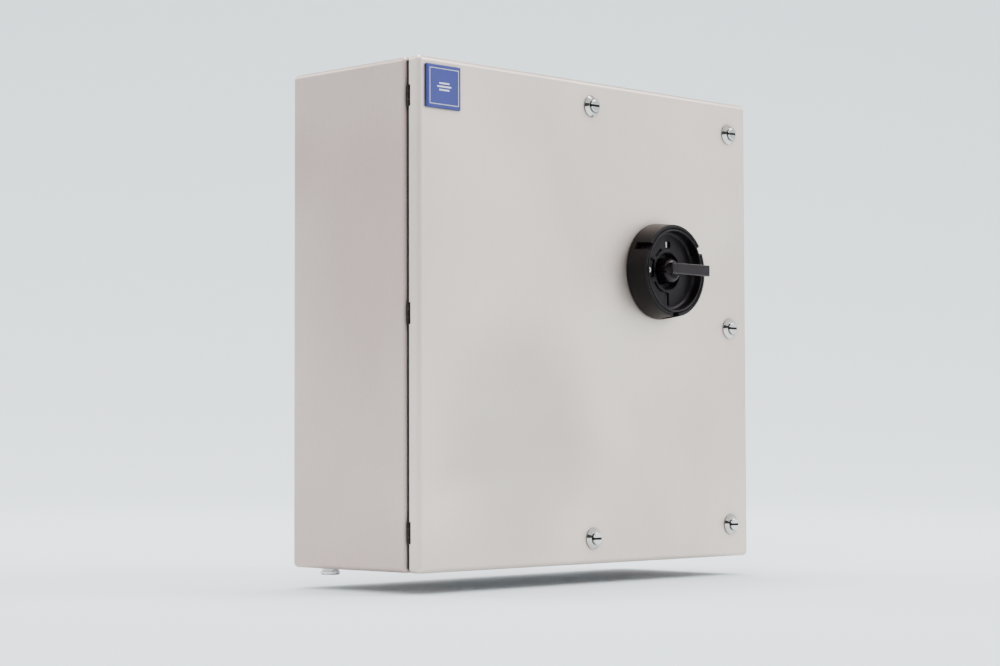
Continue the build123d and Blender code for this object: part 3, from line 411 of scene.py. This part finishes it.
def woundThread(name, slot):
    tree, given = startTree(name + "Tree", {
        "Shank": ("Float", 0.004), "Length": ("Float", 0.01), "Pitch": ("Float", 0.00125),
        "Half Flats": ("Float", 0.02), "Turn": ("Vector", (0.0, 0.0, 0.0))})
    turns = addNode(tree, "ShaderNodeMath", {0: given["Length"], 1: given["Pitch"]}, operation="DIVIDE")
    helix = addNode(tree, "GeometryNodeCurveSpiral", {
        "Resolution": threadForm["stepsPerTurn"], "Rotations": turns.outputs[0],
        "Start Radius": given["Shank"], "End Radius": given["Shank"], "Height": given["Length"]})
    half = addNode(tree, "ShaderNodeMath", {0: given["Pitch"], 1: threadForm["ridge"]}, operation="MULTIPLY")
    ridge = addNode(tree, "GeometryNodeCurvePrimitiveCircle", {"Resolution": threadForm["ridgeCorners"],
                                                               "Radius": half.outputs[0]})
    wound = addNode(tree, "GeometryNodeCurveToMesh", {"Curve": helix.outputs[0],
                                                      "Profile Curve": ridge.outputs[0], "Fill Caps": True})
    # milled flats take the thread away, so it is pressed down to them
    spot = addNode(tree, "ShaderNodeSeparateXYZ",
                   {0: addNode(tree, "GeometryNodeInputPosition").outputs[0]})
    low = addNode(tree, "ShaderNodeMath", {0: given["Half Flats"], 1: -1.0}, operation="MULTIPLY")
    held = addNode(tree, "ShaderNodeClamp", {"Value": spot.outputs[0], "Min": low.outputs[0],
                                             "Max": given["Half Flats"]})
    kept = {i: spot.outputs[i] for i in range(3)}
    kept[0] = held.outputs[0]
    moved = addNode(tree, "ShaderNodeCombineXYZ", kept)
    cut = addNode(tree, "GeometryNodeSetPosition", {"Geometry": wound.outputs[0],
                                                    "Position": moved.outputs[0]})
    copies = addNode(tree, "GeometryNodeInstanceOnPoints", {"Points": given["Geometry"],
                                                            "Instance": cut.outputs[0],
                                                            "Rotation": given["Turn"]})
    endTree(tree, copies.outputs[0], slot)
    return tree


def middleOf(node):
    low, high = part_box(node)
    return (Vector(low) + Vector(high)) / 2


def makeThreads():
    nuts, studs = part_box("plate_nuts"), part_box("plate_studs")
    reachX, reachZ = studs[1][0] - studShoulder * mm, studs[1][2] - studShoulder * mm
    starts = {
        "plateStudThreads": [(x, nuts[0][1], z) for x in (-reachX, reachX) for z in (-reachZ, reachZ)],
        "lockBarrelThreads": [(middleOf("lock_plug_" + n)[0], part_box("lock_nuts")[1][1],
                               middleOf("lock_plug_" + n)[2])
                              for n in lockNames],
        "earthScrewThread": [(middleOf("earth_screw")[0], middleOf("earth_screw")[1],
                              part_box("earth_nuts")[1][2])],
    }
    for name, look in threads.items():
        sizes = {"Shank": look["shank"] * mm, "Length": look["length"] * mm, "Pitch": look["pitch"] * mm,
                 "Half Flats": look["flats"] * mm, "Turn": look["turn"]}
        grow(name, woundThread(name, look["slot"]), starts[name], sizes, look["body"], look["slot"])


ribRows = {
    # in mm: how many ribs, how far apart, each rib's size in x, y and z, and where the row starts,
    # as a node, a part of that node's box and a shift
    "baseSideRibs": {"body": "root", "slot": "base_thermoset", "count": 15, "step": (0, 0, 12),
                     "rib": (1.2, 40.0, 2.4), "from": ("switch_base", (0, 0.45, 0), (0, 0, 14))},
    "housingVentRibs": {"body": "root", "slot": "grey_polycarbonate", "count": 6, "step": (0, 0, 4),
                        "rib": (38.0, 1.0, 1.8), "from": ("mechanism_housing", (0.5, 0, 0), (0, 0, 8))},
    "housingTopRibs": {"body": "root", "slot": "grey_polycarbonate", "count": 4, "step": (0, 0, 4),
                       "rib": (38.0, 1.0, 1.8), "from": ("mechanism_housing", (0.5, 0, 1), (0, 0, -20))},
}
ribSquareness = 1.9   # how far a ball is pushed out against its own box: 1 stays a ball, 2 is a block


def ribRow(name, slot):
    tree, given = startTree(name + "Tree", {"Count": ("Int", 5), "Step": ("Vector", (0.0, 0.0, 0.01)),
                                            "Rib": ("Vector", (0.01, 0.001, 0.002))})
    row = addNode(tree, "GeometryNodeMeshLine", {"Count": given["Count"], "Offset": given["Step"]})
    bar = addNode(tree, "GeometryNodeMeshUVSphere", {"Segments": 12, "Rings": 8, "Radius": 0.5})
    # a rounded bar: a ball pulled out to a block with soft corners
    spot = addNode(tree, "ShaderNodeSeparateXYZ",
                   {0: addNode(tree, "GeometryNodeInputPosition").outputs[0]})
    squared = {}
    for i in range(3):
        wide = addNode(tree, "ShaderNodeMath", {0: spot.outputs[i], 1: ribSquareness}, operation="MULTIPLY")
        squared[i] = addNode(tree, "ShaderNodeClamp", {"Value": wide.outputs[0], "Min": -0.5,
                                                       "Max": 0.5}).outputs[0]
    blocky = addNode(tree, "GeometryNodeSetPosition", {
        "Geometry": bar.outputs[0], "Position": addNode(tree, "ShaderNodeCombineXYZ", squared).outputs[0]})
    sized = addNode(tree, "GeometryNodeTransform", {"Geometry": blocky.outputs[0], "Scale": given["Rib"]})
    ribs = addNode(tree, "GeometryNodeInstanceOnPoints", {"Points": row.outputs[0],
                                                          "Instance": sized.outputs[0]})
    rows = addNode(tree, "GeometryNodeInstanceOnPoints", {"Points": given["Geometry"],
                                                          "Instance": ribs.outputs[0]})
    endTree(tree, rows.outputs[0], slot)
    return tree


def makeRibs():
    for name, look in ribRows.items():
        node, part, shift = look["from"]
        low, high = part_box(node)
        start = [low[i] + (high[i] - low[i]) * part[i] + shift[i] * mm for i in range(3)]
        sizes = {"Count": look["count"], "Step": [v * mm for v in look["step"]],
                 "Rib": [v * mm for v in look["rib"]]}
        grow(name, ribRow(name, look["slot"]), [start], sizes, look["body"], look["slot"])


gasketBead = {"bead": 6.5, "corner": 10.0,   # mm
              "squareness": 1.12}            # over 1 flattens the bead's foot, crown and sides


def makeGasket():
    # poured foam bead: a flat-footed D that runs once round the door
    low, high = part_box("door_gasket")
    tree, given = startTree("foamBeadTree", {
        "Width": ("Float", 0.38), "Height": ("Float", 0.38), "Corner": ("Float", 0.01),
        "Bead": ("Float", 0.0065), "Rise": ("Float", 0.0055)})
    path = addNode(tree, "GeometryNodeCurvePrimitiveQuadrilateral", {"Width": given["Width"],
                                                                     "Height": given["Height"]})
    rounded = addNode(tree, "GeometryNodeFilletCurve", {"Curve": path.outputs[0], "Radius": given["Corner"],
                                                        "Count": 10}, mode="POLY")
    foot = addNode(tree, "GeometryNodeCurvePrimitiveCircle", {"Resolution": 20, "Radius": 1.0})
    halfBead = addNode(tree, "ShaderNodeMath", {0: given["Bead"], 1: 0.5}, operation="MULTIPLY")
    halfRise = addNode(tree, "ShaderNodeMath", {0: given["Rise"], 1: 0.5}, operation="MULTIPLY")
    # the ring is squared a little before it is scaled, so that the foot is broad
    spot = addNode(tree, "ShaderNodeSeparateXYZ",
                   {0: addNode(tree, "GeometryNodeInputPosition").outputs[0]})
    sides = {}
    for i, scale in ((0, halfBead), (1, halfRise)):
        wide = addNode(tree, "ShaderNodeMath", {0: spot.outputs[i], 1: gasketBead["squareness"]},
                       operation="MULTIPLY")
        held = addNode(tree, "ShaderNodeClamp", {"Value": wide.outputs[0], "Min": -1.0, "Max": 1.0})
        sides[i] = addNode(tree, "ShaderNodeMath", {0: held.outputs[0], 1: scale.outputs[0]},
                           operation="MULTIPLY").outputs[0]
    profile = addNode(tree, "GeometryNodeSetPosition", {
        "Geometry": foot.outputs[0], "Position": addNode(tree, "ShaderNodeCombineXYZ", sides).outputs[0]})
    bead = addNode(tree, "GeometryNodeCurveToMesh", {"Curve": rounded.outputs[0],
                                                     "Profile Curve": profile.outputs[0]})
    upright = addNode(tree, "GeometryNodeTransform", {"Geometry": bead.outputs[0],
                                                      "Rotation": (math.pi / 2, 0.0, 0.0)})
    copies = addNode(tree, "GeometryNodeInstanceOnPoints", {"Points": given["Geometry"],
                                                            "Instance": upright.outputs[0]})
    endTree(tree, copies.outputs[0], "foam_gasket")
    bead = gasketBead["bead"] * mm
    sizes = {"Width": high[0] - low[0] - bead, "Height": high[2] - low[2] - bead,
             "Corner": gasketBead["corner"] * mm, "Bead": bead, "Rise": high[1] - low[1]}
    piece = grow("foamBead", tree, [(0, (low[1] + high[1]) / 2, 0)], sizes, "door", "foam_gasket")
    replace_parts(piece, "door_gasket")


badgeLook = {"border": 1.6, "line": 0.35, "bars": 3, "barLength": 15.0, "barWidth": 1.1, "barGap": 2.6,
             "barEdge": 0.03, "relief": 0.08, "slope": 1.3, "lift": 0.05, "wall": 0.2,   # mm
             "shorter": 0.28}   # how much shorter the outer bars are


def addFrame(shape, outer, inner, yOuter, yInner):
    # a closed sloping ring between two rectangles (x0, z0, x1, z1)
    rings = []
    yBack = yOuter + badgeLook["wall"] * mm
    for (x0, z0, x1, z1), y in ((outer, yOuter), (inner, yInner)):
        rings.append([shape.verts.new((x, y, z)) for x, z in ((x0, z0), (x1, z0), (x1, z1), (x0, z1))])
    back = [shape.verts.new((v.co.x, yBack, v.co.z)) for v in rings[0]]
    inside = [shape.verts.new((v.co.x, yBack, v.co.z)) for v in rings[1]]
    skin(shape, [rings[0], rings[1], inside, back])


def makeBadge():
    look = badgeLook
    base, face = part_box("badge_base"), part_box("badge_face")
    front = face[0][1]
    slope = look["slope"] * mm
    outer = (base[0][0], base[0][2], base[1][0], base[1][2])
    inner = (outer[0] + slope, outer[1] + slope, outer[2] - slope, outer[3] - slope)
    shape = bmesh.new()
    addFrame(shape, outer, inner, base[0][1], front - look["lift"] * mm)
    setPiece(meshFrom(shape, "badgeBevel"), "badgeBevel", "door", "badge_blue")
    # plain printed frame and three short bars, in place of any lettering
    shape = bmesh.new()
    relief, line = look["relief"] * mm, look["line"] * mm
    edge = look["border"] * mm
    frameOut = (inner[0] + edge, inner[1] + edge, inner[2] - edge, inner[3] - edge)
    frameIn = (frameOut[0] + line, frameOut[1] + line, frameOut[2] - line, frameOut[3] - line)
    addFrame(shape, frameOut, frameIn, front - relief, front - relief)
    midX, midZ = (outer[0] + outer[2]) / 2, (outer[1] + outer[3]) / 2
    for i in range(look["bars"]):
        fromMiddle = i - (look["bars"] - 1) / 2
        z = midZ + fromMiddle * look["barGap"] * mm
        length = look["barLength"] * mm * (1.0 - look["shorter"] * abs(fromMiddle))
        addBar(shape, (midX - length / 2, front - relief, z - look["barWidth"] * mm / 2),
               (midX + length / 2, front + relief, z + look["barWidth"] * mm / 2), look["barEdge"] * mm)
    setPiece(meshFrom(shape, "badgePrint"), "badgePrint", "door", "white_ink")


shutterLook = {"angles": (30.0, 150.0, 270.0), "halfAngle": 7.2, "steps": 8, "inner": 33.7, "thick": 0.9,
               "from": 10.4, "to": 17.8}   # degrees, and mm from the dial's middle and out from the door


def makeShutters():
    # curved tabs that close the padlock windows from inside the dial until a shackle pushes them
    look = shutterLook
    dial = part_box("handle_dial")
    centreX, centreZ = (dial[0][0] + dial[1][0]) / 2, (dial[0][2] + dial[1][2]) / 2
    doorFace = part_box("handle_gasket")[1][1]
    outer = look["inner"] + look["thick"]
    corners = ((look["inner"], look["from"]), (outer, look["from"]), (outer, look["to"]),
               (look["inner"], look["to"]))
    shape = bmesh.new()
    for angle in look["angles"]:
        columns = []
        for i in range(look["steps"] + 1):
            turn = math.radians(angle + look["halfAngle"] * (2 * i / look["steps"] - 1))
            columns.append([shape.verts.new((centreX + radius * mm * math.cos(turn), doorFace - out * mm,
                                             centreZ + radius * mm * math.sin(turn)))
                            for radius, out in corners])
        skin(shape, columns, closed=False)
        shape.faces.new(columns[0])
        shape.faces.new(list(reversed(columns[-1])))
    setPiece(meshFrom(shape, "padlockShutters"), "padlockShutters", "door", "black_polyamide")


fuseLook = {"plate": (29.4, 35.4), "plateFrom": 24.6, "plateTo": 25.9, "tag": (6.16, 15.2),
            "tagFrom": 25.6, "tagTo": 37.1, "edge": 0.4,
            "band": (22.0, 14.0), "bandLift": 0.12, "bandRoot": 0.5,
            "bandEdge": 0.05}   # mm, from the middle of the fuse link


def makeFuseParts():
    # silvered end plates and blades, and a plain colour band where the rating would be printed
    look = fuseLook
    ends, bands = bmesh.new(), bmesh.new()
    for number in (1, 2, 3):
        x, y, z = middleOf("fuse_link_%d" % number)
        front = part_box("fuse_link_%d" % number)[0][1]
        for way in (-1, 1):
            for (wide, deep), near, far in ((look["plate"], look["plateFrom"], look["plateTo"]),
                                            (look["tag"], look["tagFrom"], look["tagTo"])):
                zs = sorted((z + way * near * mm, z + way * far * mm))
                addBar(ends, (x - wide * mm / 2, y - deep * mm / 2, zs[0]),
                       (x + wide * mm / 2, y + deep * mm / 2, zs[1]), look["edge"] * mm)
        wide, tall = look["band"]
        addBar(bands, (x - wide * mm / 2, front - look["bandLift"] * mm, z - tall * mm / 2),
               (x + wide * mm / 2, front + look["bandRoot"] * mm, z + tall * mm / 2),
               look["bandEdge"] * mm)
    setPiece(meshFrom(ends, "fuseEndPlates"), "fuseEndPlates", "root", "zinc_plated")
    setPiece(meshFrom(bands, "fuseBands"), "fuseBands", "root", "badge_blue")


numberLook = {"height": 7.0, "thick": 0.12, "side": 6.0, "upper": 33.0, "lower": 0.0,
              "tab": 4.0}   # mm, the last one the cover's pull tab, which stands out from its face


def makeNumbers():
    # pole numbers moulded on the covers: odd at the line end, even at the load end
    for cover in (1, 2, 3):
        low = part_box("fuse_cover_%d" % cover)[0]
        front = low[1] + numberLook["tab"] * mm
        joined = bmesh.new()
        for text, z in ((str(2 * cover - 1), numberLook["upper"]), (str(2 * cover), numberLook["lower"])):
            curve = bpy.data.curves.new("poleNumber", "FONT")
            curve.body = text
            curve.size = numberLook["height"] * mm
            curve.extrude = numberLook["thick"] * mm
            holder = bpy.data.objects.new("poleNumber", curve)
            bpy.context.scene.collection.objects.link(holder)
            graph = bpy.context.evaluated_depsgraph_get()
            mesh = bpy.data.meshes.new_from_object(holder.evaluated_get(graph))
            bpy.data.objects.remove(holder)
            mesh.transform(Matrix.Translation((low[0] + numberLook["side"] * mm, front, z * mm))
                           @ Matrix.Rotation(math.pi / 2, 4, "X"))
            joined.from_mesh(mesh)
        bmesh.ops.remove_doubles(joined, verts=joined.verts, dist=1e-6)
        name = "poleNumbers_%d" % cover
        setPiece(meshFrom(joined, name), name, "cover_%d" % cover, "white_ink")


gapShadeSealLook = {"foot": 2.8, "lip": 6.6, "rim": 8.0,   # mm in from the side
               "thick": 1.2, "reach": 6.6}            # mm out from the folded edge


def makeGapShadeSeal():
    # black extruded strip in the corner between the folded edge and the rim: partly a real edge seal, partly
    # painted shade, made wide enough to fill the door gap with black
    look = gapShadeSealLook
    low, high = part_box("enclosure_body")
    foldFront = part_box("hinge_body_leaves")[1][1]
    profile = [(look["foot"], 0), (look["foot"], look["thick"]), (look["lip"], look["thick"]),
               (look["lip"], look["reach"]), (look["rim"], look["reach"]), (look["rim"], 0)]
    shape = bmesh.new()
    loops = []
    for inset, out in profile:
        x0, x1 = low[0] + inset * mm, high[0] - inset * mm
        z0, z1 = low[2] + inset * mm, high[2] - inset * mm
        loops.append([shape.verts.new((x, foldFront - out * mm, z))
                      for x, z in ((x0, z0), (x1, z0), (x1, z1), (x0, z1))])
    skin(shape, loops)
    setPiece(meshFrom(shape, "gapShadeSeal"), "gapShadeSeal", "root", "sealing_rubber")


lockLook = {
    # radius and height over the door in mm: barrel, seat on the seal, face cone, bore
    "outline": [(3.65, -20.0), (6.5, -20.0), (6.5, 0.0), (6.9, 0.0), (6.9, 0.8), (8.3, 0.8), (8.3, 0.0),
                (9.0, 0.0), (9.0, 0.9), (6.75, 3.35), (6.5, 3.6), (5.3, 3.6), (5.3, -1.0), (3.65, -1.0)],
    "steps": 72,
    "flats": 5.8,           # mm, half the width over the flats
    "flatsBelow": -1.5,     # mm, the flats start behind the door
    "smoothUnder": 30.0,    # degrees
}


def makeLocks():
    # die-cast lock bodies: a coned face, a threaded barrel with two flats, a bore for the plug
    look = lockLook
    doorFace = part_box("handle_gasket")[1][1]
    shape = bmesh.new()
    for name in lockNames:
        centre = middleOf("lock_plug_" + name)
        rings = []
        for i in range(look["steps"]):
            turn = 2 * math.pi * i / look["steps"]
            ring = []
            for radius, height in look["outline"]:
                x, z = radius * math.cos(turn), radius * math.sin(turn)
                if height < look["flatsBelow"]:
                    x = max(-look["flats"], min(look["flats"], x))
                ring.append(shape.verts.new((centre[0] + x * mm, doorFace - height * mm,
                                             centre[2] + z * mm)))
            rings.append(ring)
        skin(shape, rings)
    mesh = meshFrom(shape, "lockBodies")
    mesh.shade_smooth()
    mesh.set_sharp_from_angle(angle=math.radians(look["smoothUnder"]))
    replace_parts(setPiece(mesh, "lockBodies", "door", "chromed_zinc"), "lock_housings")


keywayShadeLook = {"half": 4.9, "width": 1.86, "edge": 0.1,   # mm
              "from": 2.2, "to": 0.7}                     # mm back from the plug's front


def makeKeywayShades():
    # black insert at the floor of each lock's slot: painted shade, so that the slot reads as a dark line
    look = keywayShadeLook
    for name in lockNames:
        x, y, z = middleOf("lock_plug_" + name)
        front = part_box("lock_plug_" + name)[0][1]
        shape = bmesh.new()
        addBar(shape, (x - look["half"] * mm, front + look["to"] * mm, z - look["width"] * mm / 2),
               (x + look["half"] * mm, front + look["from"] * mm, z + look["width"] * mm / 2),
               look["edge"] * mm)
        setPiece(meshFrom(shape, "keywayShade_" + name), "keywayShade_" + name, "lock_" + name, "black_polyamide")


makeThreads()
makeRibs()
makeGapShadeSeal()
makeLocks()
makeKeywayShades()
makeGasket()
makeBadge()
makeShutters()
makeFuseParts()
makeNumbers()
print("pieces made")


cameraPlace = {
    "position": (-1.4202, -1.4454, -0.0998),   # metres, in front of and left of the box
    "yaw": 45.286, "pitch": 2.701, "roll": -0.161,
    "lens": 83.58, "sensor": 36.0,   # mm
}


def makeCamera(place):
    data = bpy.data.cameras.new("studioCamera")
    data.lens = place["lens"]
    data.sensor_width = place["sensor"]
    camera = bpy.data.objects.new("studioCamera", data)
    bpy.context.scene.collection.objects.link(camera)
    turn = Matrix.Rotation(math.radians(-place["yaw"]), 4, "Z")
    turn = turn @ Matrix.Rotation(math.radians(90 + place["pitch"]), 4, "X")
    turn = turn @ Matrix.Rotation(math.radians(place["roll"]), 4, "Z")
    camera.matrix_world = Matrix.Translation(place["position"]) @ turn
    bpy.context.scene.camera = camera


stageLook = {
    "floorDrop": 0.010,      # metres from the lowest point of the object down to the floor
    "flatRadius": 2.4,
    "coveRadius": 4.2,
    "wallHeight": 6.0,
    "coveSteps": 16,
    "turnSteps": 96,
    "mottle": 0.6,           # per metre
    "colour": "#dfe7eb",
    "paler": "#e2eaee",
}


def makeStage(look):
    # a round studio: a flat floor that curves up into a wall on every side
    floorLevel = cadBox[0][2] - look["floorDrop"]
    outline = [(0.0, 0.0), (look["flatRadius"], 0.0)]
    steps = look["coveSteps"]
    for i in range(1, steps + 1):
        angle = math.pi / 2 * i / steps
        outline.append((look["flatRadius"] + look["coveRadius"] * math.sin(angle),
                        look["coveRadius"] * (1 - math.cos(angle))))
    outline.append((look["flatRadius"] + look["coveRadius"], look["wallHeight"]))
    shape = bmesh.new()
    points = [shape.verts.new((r, 0, floorLevel + z)) for r, z in outline]
    edges = [shape.edges.new(pair) for pair in zip(points, points[1:])]
    bmesh.ops.spin(shape, geom=points + edges, axis=(0, 0, 1), cent=(0, 0, 0),
                   steps=look["turnSteps"], angle=2 * math.pi, use_merge=True)
    bmesh.ops.remove_doubles(shape, verts=shape.verts, dist=1e-5)
    for face in shape.faces:
        face.smooth = True
        if face.normal.z < 0:
            face.normal_flip()
    mesh = bpy.data.meshes.new("studioCove")
    shape.to_mesh(mesh)
    shape.free()
    cove = bpy.data.objects.new("studioCove", mesh)
    bpy.context.scene.collection.objects.link(cove)
    material, tree, shader, place = startMaterial("mattStudioPaint")
    mottle = addNode(tree, "ShaderNodeTexNoise", {"Vector": place, "Scale": look["mottle"]})
    paint = addNode(tree, "ShaderNodeMix", {0: mottle.outputs[0], 6: linearColour(look["colour"]),
                                            7: linearColour(look["paler"])}, data_type="RGBA")
    tree.links.new(paint.outputs[2], shader.inputs["Base Color"])
    shader.inputs["Roughness"].default_value = 0.9
    shader.inputs["Specular IOR Level"].default_value = 0.1
    mesh.materials.append(material)


boxMiddle = (0, -0.1, 0)   # metres, what the lamps and the black cards face
lightPlan = {
    # name: position in metres, what it faces, size in metres, watts
    "softboxHighLeft": ((-2.6, -1.6, 2.3), boxMiddle, 1.2, 45),
    "softboxFrontRight": ((2.2, -2.6, 2.6), boxMiddle, 2.2, 130),
    "overhead": ((0.2, 0.2, 3.4), boxMiddle, 2.6, 140),
    "rearFill": ((-1.4, 3.0, 2.4), boxMiddle, 2.2, 60),
    "wallWash": ((0.6, 0.9, 3.6), (4.0, 4.2, 0.6), 2.0, 160),
}
skyLight = {"colour": "#f5f4f3", "strength": 1.4}
flagLook = {"colour": "#2a2a2c", "paler": "#353537", "nap": 40.0, "sides": 48}   # nap per metre
blackFlags = {
    # cards that only mirror-like metal sees: centre in metres, radius in metres
    "flagBehindCamera": ((-2.9, -2.9, -0.1), 2.7),
    "flagAboveRight": ((1.9, 0.6, 1.9), 0.7),
    "flagBelowRight": ((1.0, 0.25, -0.17), 0.5),
}


def makeLights(plan, sky):
    for name, (position, target, size, watts) in plan.items():
        data = bpy.data.lights.new(name, "AREA")
        data.shape = "DISK"
        data.size = size
        data.energy = watts
        lamp = bpy.data.objects.new(name, data)
        bpy.context.scene.collection.objects.link(lamp)
        facing = (Vector(target) - Vector(position)).to_track_quat("-Z", "Y").to_matrix().to_4x4()
        lamp.matrix_world = Matrix.Translation(position) @ facing
    world = bpy.data.worlds.new("studioSky")
    world.use_nodes = True
    background = world.node_tree.nodes["Background"]
    background.inputs[0].default_value = linearColour(sky["colour"])
    background.inputs[1].default_value = sky["strength"]
    bpy.context.scene.world = world


def makeFlags(flags, look):
    # black cards, as a product studio hangs them, so that chrome has something dark to mirror
    material, tree, shader, place = startMaterial("blackFlock")
    nap = addNode(tree, "ShaderNodeTexNoise", {"Vector": place, "Scale": look["nap"]})
    pile = addNode(tree, "ShaderNodeMix", {0: nap.outputs[0], 6: linearColour(look["colour"]),
                                           7: linearColour(look["paler"])}, data_type="RGBA")
    tree.links.new(pile.outputs[2], shader.inputs["Base Color"])
    shader.inputs["Roughness"].default_value = 1.0
    for name, (centre, radius) in flags.items():
        facing = (Vector(boxMiddle) - Vector(centre)).to_track_quat("Z", "Y").to_matrix().to_4x4()
        shape = bmesh.new()
        bmesh.ops.create_circle(shape, cap_ends=True, segments=look["sides"], radius=radius,
                                matrix=Matrix.Translation(centre) @ facing)
        mesh = bpy.data.meshes.new(name)
        shape.to_mesh(mesh)
        shape.free()
        mesh.materials.append(material)
        flag = bpy.data.objects.new(name, mesh)
        bpy.context.scene.collection.objects.link(flag)
        flag.visible_camera = flag.visible_diffuse = flag.visible_shadow = False


makeCamera(cameraPlace)
makeStage(stageLook)
makeLights(lightPlan, skyLight)
makeFlags(blackFlags, flagLook)
print("camera, stage and lights made")
